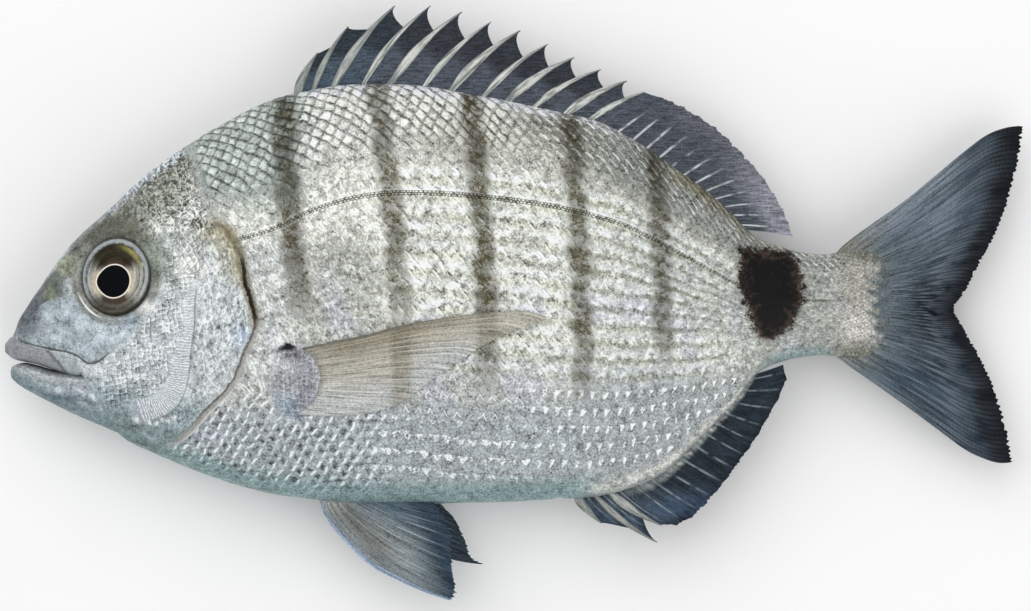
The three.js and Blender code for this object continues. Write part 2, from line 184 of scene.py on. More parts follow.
NEAR_PELVIC = {
    "rays": 13,
    "root": [[-54.5, -52.2], [-50, -52], [-45.5, -51.9], [-41, -52.2]],
    "edge": [
        [-17.6, -81.9], [-16.2, -79.5], [-17.2, -72.1], [-17.6, -63.3], [-20.6, -57.2], [-23.7, -53],
    ],
    "first": [[-52.3, -58.9], [-47, -65.5], [-39.9, -72.2], [-32.5, -76.2], [-24.5, -79.7]],
    "last": [[-32, -52.5]],
}
FAR_PELVIC = {
    "rays": 13,
    "root": [[-48.4, -52], [-37.4, -52.4], [-22, -53]],
    "edge": [[-8.8, -72.1], [-12.1, -70], [-13.8, -65.5], [-16.8, -59.7], [-19.8, -56.9]],
    "first": [[-37.4, -61.4], [-23.7, -68.4], [-16.2, -71]],
    "last": [],
}
# Half the width of a spine: [share of its length, half width]
SPINE_WIDTH = [[0, 0.8], [0.15, 1.05], [0.34, 1.4], [0.6, 0.95], [0.85, 0.42], [1, 0.2]]
PELVIC_ASIDE = 4
BREAST_FIN = {
    "rays": 20,
    "root": [[-62.7, -13.2], [-58.6, -15.1], [-55.8, -18.4], [-55, -22], [-56.4, -26.4], [-60.5, -30.3]],
    "edge": [[10.2, -4.4], [-6.6, -11], [-19, -18.7], [-31.6, -27.5], [-42.6, -30.5]],
    "first": [[-42.6, -9.1], [-28.1, -5.5], [-13.2, -3.2], [0, -2.2], [5.2, -2.8]],
    "last": [[-51.7, -30.8]],
}
BREAST_LIFT = 1.2

# Dark bars down the flank: each one's half width and strength, and where it runs, [Y, X]
BARS = [
    [3.4, 0.9, [[-4, -59], [4, -59.5], [20, -61.3], [42, -63], [50, -63.5]]],
    [3.2, 0.78, [[-8, -31.2], [14.6, -32.5], [28.3, -34.1], [42, -36], [57, -38]]],
    [3.1, 0.9, [[-22, -8], [0.8, -8], [28.3, -9.9], [54.5, -12.1]]],
    [3, 0.82, [[-26, 18.4], [-7.4, 18.1], [20, 17], [49, 14.9]]],
    [2.8, 0.8, [[-18, 40.4], [-7.4, 40.1], [14.6, 39.6], [38, 38.2]]],
]
SADDLE = [
    [60.8, 15.7], [68, 14.6], [76.5, 13.2], [78.9, 3.3], [77.5, -2.5], [74.8, -7.4], [68.2, -10.5],
    [63.3, -3.3], [60.8, 5.8],
]

rng = np.random.default_rng(7)


def srgb(red, green, blue):
    """A colour as it shows on a screen, from 0 to 255, in the linear light that materials use."""
    shown = np.array([red, green, blue]) / 255
    return np.where(shown < 0.04045, shown / 12.92, ((shown + 0.055) / 1.055) ** 2.4)


# Curves


def profile(points, column=1):
    """A smooth function through points, which gives the value in the given column."""
    xs = np.array([p[0] for p in points], float)
    ys = np.array([p[column] for p in points], float)
    order = np.arange(len(xs))
    before = np.maximum(order - 1, 0)
    after = np.minimum(order + 1, len(xs) - 1)
    slopes = (ys[after] - ys[before]) / (xs[after] - xs[before])

    def value(x):
        i = np.clip(np.searchsorted(xs, x) - 1, 0, len(xs) - 2)
        step = xs[i + 1] - xs[i]
        t = np.clip((x - xs[i]) / step, 0, 1)
        rest = (1 - t) ** 2
        ends = ys[i] * rest * (1 + 2 * t) + ys[i + 1] * t * t * (3 - 2 * t)
        return ends + step * (slopes[i] * t * rest - slopes[i + 1] * t * t * (1 - t))

    return value


def spline(points):
    """The curve through points, as a function of t from 0 to 1, with the points evenly apart in t."""
    knots = np.array(points, float)
    last = len(knots) - 1

    def place(t):
        run = np.clip(t, 0, 1) * last
        i = np.minimum(np.floor(run).astype(int), last - 1)
        w = (run - i)[..., None]
        a, b, c, d = (knots[np.clip(i + k, 0, last)] for k in (-1, 0, 1, 2))
        bend = (2 * a - 5 * b + 4 * c - d) * w + (3 * b - a - 3 * c + d) * w * w
        return b + 0.5 * w * ((c - a) + bend)

    return place


def even_pace(points):
    """The curve through points, as a function of the share of its length."""
    curve = spline(points)
    t = np.linspace(0, 1, 200)
    steps = np.linalg.norm(np.diff(curve(t), axis=0), axis=1)
    share = np.concatenate([[0], np.cumsum(steps)]) / steps.sum()
    return lambda s: curve(np.interp(s, share, t))


def patch(outline):
    """The web between four edges: root and edge run along u, first and last along v.
    First and last have only the points between the corners, which root and edge give."""
    start, end = outline["root"], outline["edge"]
    root, edge = spline(start), spline(end)
    first = even_pace([start[0], *outline["first"], end[0]])
    last = even_pace([start[-1], *outline["last"], end[-1]])

    def place(u, v):
        us, vs = u[..., None], v[..., None]
        zero, one = np.zeros_like(u), np.ones_like(u)
        straight = (1 - vs) * root(u) + vs * edge(u)
        first_off = first(v) - (1 - vs) * root(zero) - vs * edge(zero)
        last_off = last(v) - (1 - vs) * root(one) - vs * edge(one)
        return straight + (1 - us) ** 2 * first_off + us**2 * last_off

    return place


def smooth(x, low, high, *more):
    """0 below low, 1 above high, and an S curve between; falls where low is above high.
    With more pairs of low and high it is the product of their curves."""
    if isinstance(x, Field):
        curve = x.paint.smooth(x, low, high)
    else:
        t = np.clip((x - low) / (high - low), 0, 1)
        curve = t * t * (3 - 2 * t)
    return curve * smooth(x, *more) if more else curve


def bell(x, width=1):
    return np.exp(-((x / width) ** 2))


def spot(x, y, middle, across, high=None):
    """A soft round or oval spot: 1 in its middle."""
    gap = np.hypot((x - middle[0]) / across, (y - middle[1]) / (high or across))
    return bell(gap)


def from_curve(x, y, points, samples=70):
    """Distance from a curve, positive on the left of its run, and how far along it the nearest place is."""
    t = np.linspace(0, 1, samples)
    knots = spline(points)(t)
    best = np.full(x.shape, np.inf)
    side = np.ones(x.shape)
    along = np.zeros(x.shape)
    run = 0
    for (ax, ay), (bx, by) in zip(knots[:-1], knots[1:]):
        dx, dy = bx - ax, by - ay
        length = math.hypot(dx, dy)
        share = np.clip(((x - ax) * dx + (y - ay) * dy) / length**2, 0, 1)
        gap = np.hypot(x - ax - share * dx, y - ay - share * dy)
        nearer = gap < best
        best = np.where(nearer, gap, best)
        side = np.where(nearer, np.sign(dx * (y - ay) - dy * (x - ax)), side)
        along = np.where(nearer, run + share * length, along)
        run += length
    return best * side, along


def closed_gap(x, y, outline, samples=90):
    """Distance from a closed outline, positive inside it."""
    outline = outline + outline[:1]
    gap = np.abs(from_curve(x, y, outline, samples)[0])
    knots = spline(outline)(np.linspace(0, 1, samples))
    crossings = np.zeros(x.shape)
    for (ax, ay), (bx, by) in zip(knots[:-1], knots[1:]):
        if ay != by:
            crossings += ((ay > y) != (by > y)) & (x < ax + (y - ay) * (bx - ax) / (by - ay))
    return np.where(crossings % 2 == 1, gap, -gap)


def ripple(x, y, size, waves=9):
    """Soft noise between about -1 and 1, with lumps of the given size."""
    total = np.zeros(np.broadcast(x, y).shape)
    for _ in range(waves):
        turn, phase = rng.uniform(0, 2 * math.pi, 2)
        pace = rng.uniform(0.6, 1.5) * 2 * math.pi / size
        total += np.sin((x * math.cos(turn) + y * math.sin(turn)) * pace + phase)
    return total / math.sqrt(waves) * 0.8


BACK = profile(BACK_LINE)
MOUTH = profile(MOUTH_LINE + BELLY_REAR)
UNDER = profile([[-140.5, -17.6]] + CHIN_LINE + BELLY_REAR)
WIDTH = profile(HALF_WIDTH)
LATERAL = profile(LATERAL_LINE)
ROWS = profile(ROW_SPACING)


def sag(x, y):
    """How far the plane of symmetry sags at a place."""
    tail = np.clip((x - TAIL_SAG_FROM) / (HALF_LENGTH - TAIL_SAG_FROM), 0, 1)
    under = np.clip((FIN_SAG_FROM - y) / (HALF_DEPTH + FIN_SAG_FROM), 0, 1)
    return TAIL_SAG * tail**2 + np.where(x < 0, FIN_SAG * under**2, 0)


def roundness(cos):
    """How far out the surface is, as a share of the half width, where cos is the height on it."""
    sharper = np.where(cos > 0, BACK_RIDGE, BELLY_KEEL)
    return np.maximum(1 - cos * cos, 0) ** ((1 + sharper * np.abs(cos)) / 2)


def height_on(x, y):
    """How high on the body's side a place is: 1 at the back and -1 at the belly."""
    top, low = BACK(x), UNDER(x)
    return (2 * y - top - low) / (top - low)


def flank(x, y):
    """The flank's distance from the plane of symmetry."""
    return WIDTH(x) * roundness(np.clip(height_on(x, y), -1, 1))


def rolled(gap, radius):
    """A rounded edge: 0 at the edge and 1 from radius in."""
    t = np.clip(gap / radius, 0, 1)
    return np.sqrt(np.maximum(1 - (1 - t) ** 2, 0))


# Materials


BRIGHTEST = 0.93


class Field:
    """A number or colour in a material, so that a material reads as a formula."""

    def __init__(self, paint, socket):
        self.paint = paint
        self.socket = socket

    __add__ = __radd__ = lambda self, other: self.paint.math("ADD", self, other)
    __sub__ = lambda self, other: self.paint.math("SUBTRACT", self, other)
    __rsub__ = lambda self, other: self.paint.math("SUBTRACT", other, self)
    __mul__ = __rmul__ = lambda self, other: self.paint.math("MULTIPLY", self, other)
    __truediv__ = lambda self, other: self.paint.math("DIVIDE", self, other)
    __pow__ = lambda self, other: self.paint.math("POWER", self, other)
    __abs__ = lambda self: self.paint.math("ABSOLUTE", self)
    __neg__ = lambda self: self * -1


ARRAY_MATH = {
    "FLOOR": np.floor,
    "CEIL": np.ceil,
    "MINIMUM": np.minimum,
    "FRACT": lambda x: x - np.floor(x),
    "LESS_THAN": lambda a, b: (a < b).astype(float),
}


def calc(operation, *values):
    """A function of a material's fields, or one of those above of arrays."""
    for value in values:
        if isinstance(value, Field):
            return value.paint.math(operation, *values)
    return ARRAY_MATH[operation](*values)


class Paint:
    """A material whose colour, roughness and bump are worked out by formula."""

    def __init__(self, name):
        self.block = bpy.data.materials.new(name)
        self.block.use_nodes = True
        self.tree = self.block.node_tree
        self.shader = self.tree.nodes["Principled BSDF"]

    def feed(self, port, value):
        if isinstance(value, Field):
            self.tree.links.new(value.socket, port)
        elif port.type == "RGBA":
            port.default_value = (*value, 1)
        else:
            port.default_value = value

    def node(self, kind, output, inputs, **settings):
        node = self.tree.nodes.new(kind)
        for key, value in settings.items():
            setattr(node, key, value)
        for key, value in inputs.items():
            self.feed(node.inputs[key], value)
        return Field(self, node.outputs[output])

    def math(self, operation, *values):
        return self.node("ShaderNodeMath", 0, dict(enumerate(values)), operation=operation)

    def smooth(self, x, low, high):
        inputs = {"Value": x, "From Min": low, "From Max": high}
        if not isinstance(low, Field) and low > high:
            inputs.update({"From Min": high, "From Max": low, "To Min": 1, "To Max": 0})
        return self.node("ShaderNodeMapRange", 0, inputs, interpolation_type="SMOOTHSTEP")

    def vector_math(self, operation, inputs):
        return self.node("ShaderNodeVectorMath", 0, inputs, operation=operation)

    def attribute(self, name):
        return self.node("ShaderNodeAttribute", "Vector", {}, attribute_name=name)

    def parts(self, vector):
        """The three numbers of a vector, or of the attribute of that name."""
        if isinstance(vector, str):
            vector = self.attribute(vector)
        split = self.node("ShaderNodeSeparateXYZ", 0, {"Vector": vector}).socket.node
        return [Field(self, port) for port in split.outputs]

    def place(self):
        """The place on the fish, in millimetres."""
        here = self.node("ShaderNodeTexCoord", "Object", {})
        return self.vector_math("SCALE", {0: here, "Scale": 1 / MM})

    def vector(self, x, y, z=0):
        return self.node("ShaderNodeCombineXYZ", 0, {0: x, 1: y, 2: z})

    def noise(self, vector, scale, detail=2, roughness=0.5):
        inputs = {"Vector": vector, "Scale": scale, "Detail": detail, "Roughness": roughness}
        return self.node("ShaderNodeTexNoise", 0, inputs)

    def threads(self, x, y, across, along, width):
        """Thin winding lines: width is their width as a share of their spacing."""
        wave = self.noise(self.vector(x * across, y * along), 1, 1.5)
        return smooth(abs(wave - 0.5), width, width * 0.3)

    def length(self, x, y):
        return self.math("SQRT", x * x + y * y)

    def random(self, vector):
        return self.node("ShaderNodeTexWhiteNoise", "Value", {"Vector": vector})

    def grains(self, vector, scale):
        """Small irregular cells, each of its own brightness from 0 to 1."""
        cells = self.node("ShaderNodeTexVoronoi", "Color", {"Vector": vector, "Scale": scale})
        return self.parts(cells)[0]

    def shade(self, colour, filter_colour, share):
        """The colour as seen through a filter, by a share from 0 to 1."""
        return self.vector_math("MULTIPLY", {0: colour, 1: self.mix((1, 1, 1), filter_colour, share)})

    def mix(self, a, b, share):
        return self.node("ShaderNodeMix", 2, {0: share, 6: a, 7: b}, data_type="RGBA")

    def over(self, colour, layers):
        """The colour under layers, each a screen colour and its share."""
        for shown, share in layers:
            colour = self.mix(colour, srgb(*shown), share)
        return colour

    def brighten(self, colour, factor):
        scaled = self.vector_math("SCALE", {0: colour, "Scale": factor})
        return self.vector_math("MINIMUM", {0: scaled, 1: (BRIGHTEST, BRIGHTEST, BRIGHTEST)})

    def bump(self, height, distance):
        """A fine relief: height runs from 0 to 1 and stands for distance millimetres."""
        inputs = {"Height": height, "Distance": distance * MM, "Strength": 1}
        return self.node("ShaderNodeBump", 0, inputs)

    def done(self, colour, roughness, normal=None, metallic=0, shine=0.5, coat=0, coat_roughness=0.03):
        ports = {
            "Base Color": colour, "Roughness": roughness, "Normal": normal, "Metallic": metallic,
            "Specular IOR Level": shine, "Coat Weight": coat, "Coat Roughness": coat_roughness,
        }
        for key, value in ports.items():
            if value is not None:
                self.feed(self.shader.inputs[key], value)
        return self.block


def scale_cells(u, v, reach):
    """The overlapping scales at (u, v): columns are 1 apart along u, rows 1 apart along v and staggered.
    A scale's free edge faces +u. Gives how far ahead of its free edge the place is, how far behind the
    edge that covers it, the scale's row and column, and how far across it the place is."""
    row = calc("FLOOR", v)
    share = v - row

    def scale_in(line, aside):
        stagger = calc("FRACT", line * 0.5)
        edge = reach * (1 - aside**1.2)
        run = u - stagger - edge
        column = calc("CEIL", run)
        return column - run, column + stagger

    ahead_low, centre_low = scale_in(row, share)
    ahead_high, centre_high = scale_in(row + 1, 1 - share)
    low_on_top = calc("LESS_THAN", centre_low, centre_high)
    ahead = ahead_high + (ahead_low - ahead_high) * low_on_top
    behind = calc("MINIMUM", 1 - ahead_low, 1 - ahead_high)
    centre = centre_high + (centre_low - centre_high) * low_on_top
    line = row + 1 - low_on_top
    return ahead, behind, line, centre, v - line


# Meshes


def added(name, data):
    """A new object in the scene, with the given mesh, lamp or camera."""
    thing = bpy.data.objects.new(name, data)
    bpy.context.scene.collection.objects.link(thing)
    return thing


def loft(name, rings, fields, material):
    """A closed mesh, laid on the table, from rings of points of the fish's own symmetric shape.
    Each ring is a closed loop of the same even length."""
    x, y, z = np.moveaxis(rings, -1, 0)
    laid = np.stack([x, y, np.maximum(z + REST_DEPTH - sag(x, y), 0)], -1)
    count, size = rings.shape[:2]
    step = np.arange(size)
    start = np.arange(count - 1)[:, None] * size
    a = start + step
    b = start + (step + 1) % size
    sides = np.stack([a, b, b + size, a + size], -1).reshape(-1, 4)
    i = np.arange(size // 2 - 1)
    first = np.stack([size - 1 - i, size - 2 - i, i + 1, i], -1)
    end = (count - 1) * size
    quads = np.concatenate([sides, first, end + first[:, ::-1]])
    points = laid.reshape(-1, 3)
    p, q, r = (points[quads[:, k]] for k in (0, 1, 2))
    if np.einsum("ij,ij->", p, np.cross(q, r)) < 0:
        quads = quads[:, ::-1]
    mesh = bpy.data.meshes.new(name)
    mesh.from_pydata((points * MM).tolist(), [], quads.tolist())
    for key, values in fields.items():
        layer = mesh.attributes.new(key, "FLOAT_VECTOR", "POINT")
        layer.data.foreach_set("vector", np.ascontiguousarray(values, np.float32).ravel())
    mesh.shade_smooth()
    mesh.materials.append(material)
    piece = added(name, mesh)
    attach(piece, "root")
    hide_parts("fish")


def surface_normals(points):
    """The outward direction of a grid of points, taken as the +Z side."""
    normal = np.cross(np.gradient(points, axis=0), np.gradient(points, axis=1))
    normal /= np.maximum(np.linalg.norm(normal, axis=-1, keepdims=True), 1e-9)
    facing = np.sign(normal[..., 2].sum())
    return normal * facing


def loft_both(name, left, fields, material):
    """A piece with two like sides, from a grid over its left side with rows from top to bottom."""
    loft(name, np.concatenate([left, left[:, ::-1] * [1, 1, -1]], 1), mirrored(fields), material)


def mirrored(fields):
    return {key: np.concatenate([value, value[:, ::-1]], 1) for key, value in fields.items()}


def side_grid(x, top, low, depth, rows, fine=260):
    """A grid of places over one side of a body: evenly spaced round it at each x. Depth is its flank."""
    cos = np.cos(np.linspace(0, math.pi, fine))
    y = (top + low)[:, None] / 2 + (top - low)[:, None] / 2 * cos
    z = depth(x[:, None] + 0 * y, y)
    steps = np.hypot(np.diff(y, axis=1), np.diff(z, axis=1))
    run = np.concatenate([np.zeros((len(x), 1)), np.cumsum(steps, 1)], 1)
    even = np.linspace(0, 1, rows)
    heights = np.array([np.interp(even * r[-1], r, h) for r, h in zip(run, y)])
    girth = run[:, -1:] * even
    xs = x[:, None] + 0 * heights
    return xs, heights, depth(xs, heights), girth


def tinted(x, base, layers):
    """A tint at each place: the base colour, with each layer's colour laid on it by its amount."""
    tint = np.zeros(x.shape + (3,)) + srgb(*base)
    for colour, amount in layers:
        tint += (srgb(*colour) - tint) * np.clip(amount, 0, 1)[..., None]
    return tint


# The body

NOSE_X = -140
ROOT_X = 104.2
STATIONS = 400
SIDE_ROWS = 190
HEAD_FIELDS_TO = -45


def end_round(x):
    """The rounding of the snout and of the stump under the tail fin, seen from above."""
    return rolled(np.clip(np.minimum((x - NOSE_X) / 5, (ROOT_X - x) / 3), 0.01, 1), 1)


def trunk_depth(x, y):
    edge = np.where(x < -106, rolled(y - MOUTH(x), 2.2), 1)
    fade = smooth(x, -112, -106)
    return flank(x, y) * end_round(x) * (edge + (1 - edge) * fade)


def head_fields(x, y):
    """Distances that the head's features are drawn from."""
    head = x < HEAD_FIELDS_TO
    hx, hy = x[head], y[head]
    f = {key: np.full(x.shape, -60.0) for key in ("gill", "cheek", "cheek_along", "plate")}
    f["gill"][head] = -from_curve(hx, hy, NAPE_LINE[:-1] + GILL_EDGE)[0]
    f["cheek"][head], f["cheek_along"][head] = from_curve(hx, hy, CHEEK_LINE)
    f["plate"][head] = closed_gap(hx, hy, PLATE_EDGE)
    f["eye"] = np.hypot((x - EYE["x"]) / EYE["across"], (y - EYE["y"]) / EYE["high"])
    f["root"] = np.hypot((x - FIN_ROOT["x"]) / FIN_ROOT["across"], (y - FIN_ROOT["y"]) / FIN_ROOT["high"])
    width = profile(CHEEK_BAND)(y)
    f["band"] = smooth(f["cheek"], 0.1, -0.4) * smooth(-f["cheek"], width + 0.6, width - 0.6)
    f["band"] *= smooth(y, 6, 1, -34.5, -32) * (x > -105)
    return f


def scale_lattice(x, y, girth):
    """The place in the lattice of body scales, and how many rows it is above the lateral line.
    Toward the tail the rows below the line run level, and the line comes down across them."""
    lateral = LATERAL(x)
    at = np.array([np.interp(lateral[i, 0], y[i, ::-1], girth[i, ::-1]) for i in range(len(x))])
    above = (at[:, None] - girth) / ROWS(x)
    line = np.linspace(-141, 105, 800)
    run = np.concatenate([[0], np.cumsum(np.diff(line) / profile(SCALE_PITCH)(line[:-1]))])
    u = np.interp(x, line, run) + 0.085 * above + 0.0067 * np.maximum(above, 0) ** 2
    v = above - profile(ROW_SHIFT)(x) * smooth(above, -0.6, -9)
    return u, v, above


def turned(x, y, scales):
    """The place in a lattice of small scales that is turned from the fish's own axes."""
    turn = math.radians(scales["turn"])
    along = x * math.cos(turn) + y * math.sin(turn)
    across = y * math.cos(turn) - x * math.sin(turn)
    return along / scales["length"], across / scales["width"]


def small_lattice(x, y, f):
    """The place in the lattices of small scales, and how far they show: on the cheek, the gill cover,
    the root of the breast fin and the root of the tail."""
    gill, cheek, root = f["gill"], f["cheek"], f["root"]
    mask = smooth(x, -117, -111) * smooth(f["plate"], -0.3, -1.5) * smooth(f["eye"], 1.3, 1.5)
    mask = mask * smooth(-cheek, 0.3, 0.8) * (1 - f["band"]) * smooth(y, 20, 13, -31, -26) * (gill > 0)
    cover = (gill > 0) & ((cheek > 0) | (y > 8) & (x > -92))
    cover_mask = smooth(gill, 0.5, 1.3) * smooth(np.abs(cheek), 0.3, 0.8) * smooth(y, -35, -32)
    fin_root = (gill < 0) & (root < 1.5)
    dx, dy = x - TAIL_ROOT_SCALES["middle"][0], y - TAIL_ROOT_SCALES["middle"][1]
    fan = np.hypot(dx, dy) / TAIL_ROOT_SCALES["length"], np.arctan2(dy, dx) * 32 / TAIL_ROOT_SCALES["width"]
    u, v = turned(x, y, CHEEK_SCALES)
    for area, (area_u, area_v), shown in (
        (cover, turned(x, y, COVER_SCALES), cover_mask),
        (fin_root, turned(x, y, FIN_ROOT_SCALES), smooth(root, 1.35, 1.1)),
        (x > 80, fan, smooth(x, 85, 91, 101.5, 98.5)),
    ):
        u, v, mask = np.where(area, area_u, u), np.where(area, area_v, v), np.where(area, shown, mask)
    u, v = (w + 0.25 * ripple(x, y, 5) for w in (u, v))
    return u, v, mask


def body():
    along = np.linspace(0, 1, STATIONS + 1)
    x = NOSE_X + (ROOT_X - NOSE_X) * (0.25 * along**1.6 + 0.75 * along)
    x, y, z, girth = side_grid(x, BACK(x), MOUTH(x), trunk_depth, SIDE_ROWS)
    f = head_fields(x, y)
    u, v, above = scale_lattice(x, y, girth)
    u, v = (w + 0.1 * ripple(x, y, 9) + 0.07 * ripple(x, y, 3.4) for w in (u, v))
    small_u, small_v, small = small_lattice(x, y, f)

    gill, cheek, eye, root = f["gill"], f["cheek"], f["eye"], f["root"]
    scaled = smooth(-gill, 0.8, 2.4) * smooth(root, 1.05, 1.4) * smooth(x, 92, 86)
    scaled = scaled * smooth(height_on(x, y) - 0.07 * smooth(x, -50, -30), -0.98, -0.9)
    in_gill = smooth(y, -41, -36, 25, 20) * (x < -55)
    # scales, large and small
    relief = scaled * SCALE_RELIEF * (1 - scale_cells(u, v, SCALE_REACH)[0])
    relief += small * SCALE_RELIEF * 0.3 * (1 - scale_cells(small_u, small_v, SCALE_REACH)[0])
    # gill cover, with the slit behind its free edge
    lifted = np.exp(-np.maximum(gill, 0) / 7) * 0.9
    sunk = -0.8 * np.exp(-np.maximum(-gill, 0) / 1.8)
    relief += in_gill * np.where(gill > 0, lifted, sunk) * smooth(np.abs(gill), 24, 14)
    # cheek bone
    in_cheek = smooth(y, -34, -30, 8, 2) * (x < -80)
    relief += in_cheek * np.where(cheek > 0, -0.3 * np.exp(-cheek / 2.5), 0.25 * np.exp(cheek / 6))
    # bone in front of the eye, and the eye's socket
    relief += 0.4 * smooth(f["plate"], -0.2, 0.7)
    relief += -2.4 * smooth(eye, 1.04, 0.86) + 0.3 * bell(eye - 1.12, 0.08) - 0.25 * bell(eye - 1.3, 0.12)
    # lateral line
    relief += scaled * 0.12 * bell(above, 0.35) * (1 + 0.5 * np.sin(u * 2 * math.pi))
    # flesh at the breast fin's root, and the pit above it
    relief += 1.2 * smooth(root, 1.05, 0.35)
    relief -= 1.1 * spot(x, y, PIT_MIDDLE, 2, 1.2)
    # vent
    relief -= 0.9 * spot(x, y, VENT, 1.4)
    relief += 0.12 * ripple(x, y, 26) + 0.05 * ripple(x, y, 7) * smooth(x, -60, -85)

    base = np.stack([x, y, z], -1)
    ends = smooth(x, NOSE_X, NOSE_X + 0.6, ROOT_X, ROOT_X - 0.6)
    points = base + surface_normals(base) * (relief * ends)[..., None]
    points[:, [0, -1], 2] = 0
    points[..., 2] = np.maximum(points[..., 2], 0)
    worms = smooth(x, -106, -101, -80, -86) * smooth(y, 15, 21) * smooth(gill, 0.5, 3)
    bars, saddle = dark_marks(x, y)
    fields = {
        "tint": body_tint(x, y, above, f),
        "lattice": np.stack([u, v, scaled], -1),
        "small": np.stack([small_u, small_v, small], -1),
        "gill": np.stack([gill, in_gill, worms], -1),
        "cheek": np.stack([cheek, f["cheek_along"], f["band"]], -1),
        "plate": np.stack([f["plate"], eye, above], -1),
        "marks": np.stack([bars, saddle, smooth(gill, 0, 4)], -1),
    }
    loft_both("fish_skin", points, fields, skin_material())


def dark_marks(x, y):
    """How much of a dark bar is at each place, and how far inside the saddle at the tail's root it is."""
    wobble = ripple(x, y, 14)
    fine = ripple(x, y, 3.2, 14)
    bars = np.zeros(x.shape)
    for half, strength, line in BARS:
        low = line[0][0]
        gap = np.abs(x - profile(line)(y) + 0.5 * fine + 0.6 * wobble)
        amount = smooth(gap, half + 1.8, half - 2) * smooth(y, low - 8, low + 8)
        bars = np.maximum(bars, amount * strength * (0.72 + 0.28 * smooth(y, low, low + 24)))
    return bars, closed_gap(x, y, SADDLE) + 0.5 * fine + 0.4 * wobble


def body_tint(x, y, v, f):
    """The colours of the skin before its scales and dark marks are drawn on it; a few are painted light,
    highlights, glints, sheen and shade, each marked where it is laid on.
    """
    height = height_on(x, y)
    fine = ripple(x, y, 3.2, 14)
    sheen = smooth(ripple(x, y, 20), 0.2, 1.1)
    glint_belt = bell(height + 0.95, 0.035) * smooth(x, 14, 28, 70, 62)
    root = f["root"]
    pit = closed_gap(x, y, PIT)
    layers = [
        # the back and the side
        [(186, 187, 181), smooth(v, 2, 7)],
        [(172, 173, 164), smooth(x, -45, -15) * smooth(v, 2, 6)],
        [(148, 149, 140), smooth(x, -12, 8) * smooth(v, 5, 10)],
        [(142, 145, 139), smooth(x, 8, 28) * smooth(v, 2.5, 6)],
        [(190, 192, 184), smooth(height, 0.8, 0.93) * smooth(x, 10, -20)],
        [(122, 120, 104), smooth(height, 0.84, 0.95) * smooth(x, 30, 50)],
        # a painted silvery highlight along the edge of the back
        [(214, 218, 222), smooth(height + 0.02 * fine, 0.94, 0.99) * smooth(x, -74, -60, 40, 10)],
        # the belly, and the side's front and rear
        [(186, 189, 185), smooth(y, -8, -20)],
        [(168, 175, 177), smooth(y, -22, -34)],
        [(168, 176, 180), smooth(y, -30, -40) * smooth(x, -20, -40)],
        [(134, 156, 157), smooth(height, -0.84, -0.95)],
        [(181, 184, 178), smooth(x, 10, 50) * smooth(y, -16, -6) * smooth(v, 4, 1)],
        [(154, 157, 151), smooth(x, 52, 78)],
        [(172, 174, 167), smooth(x, -64, -58, -30, -42) * smooth(y, 22, 14, -22, -12)],
        [(142, 152, 147), smooth(x, -50, -64) * smooth(y, 20, 32) * 0.8],
        [(185, 188, 185), smooth(x, -55, -66) * smooth(y, 24, 12, -30, -20)],
        [(186, 189, 202), sheen * smooth(y, 12, -2, -44, -34) * 0.45],
        [(164, 170, 170), smooth(x, 14, 30) * smooth(y, -16, -26)],
        [(134, 150, 150), smooth(height, -0.68, -0.94) * smooth(x, 66, 72, 92, 84)],
        # a band of painted glints from small scales along the belly's edge above the vent fin
        [(226, 227, 217), glint_belt * smooth(fine, -1, 0.5) * 0.9],
        # the root of the breast fin, and the pit above it
        [(166, 168, 172), smooth(root, 1.4, 0.9)],
        # painted shade, blue-grey, on the lower part of the breast fin's fleshy root
        [(150, 164, 178), smooth(root, 1.35, 0.9) * smooth(y, -22, -29) * 0.9],
        [(146, 148, 154), smooth(root, 1.2, 0.8) * smooth(x, -62, -57)],
        [(206, 208, 206), spot(x, y, (-65.5, -15), 4) * 0.6],
        [(98, 94, 102), spot(x, y, (-60.8, -14.2), 3.4, 1.6) * 0.85],
        [(16, 14, 16), smooth(pit + 0.1 * fine, -0.25, 0.2)],
        # the root of the tail
        [(162, 160, 152), smooth(x, 84, 91) * 0.8],
        [(206, 200, 196), spot(x, y, (94, -6.5), 3.5, 4) * 0.7],
        [(112, 114, 104), smooth(np.abs(y), 9.5, 13.5) * smooth(x, 84, 93)],
        [(90, 100, 104), smooth(x + 1.4 * fine - 0.16 * np.abs(y), 95.5, 100.5)],
    ]
    return tinted(x, (206, 208, 199), layers + head_layers(x, y, height, f, fine))


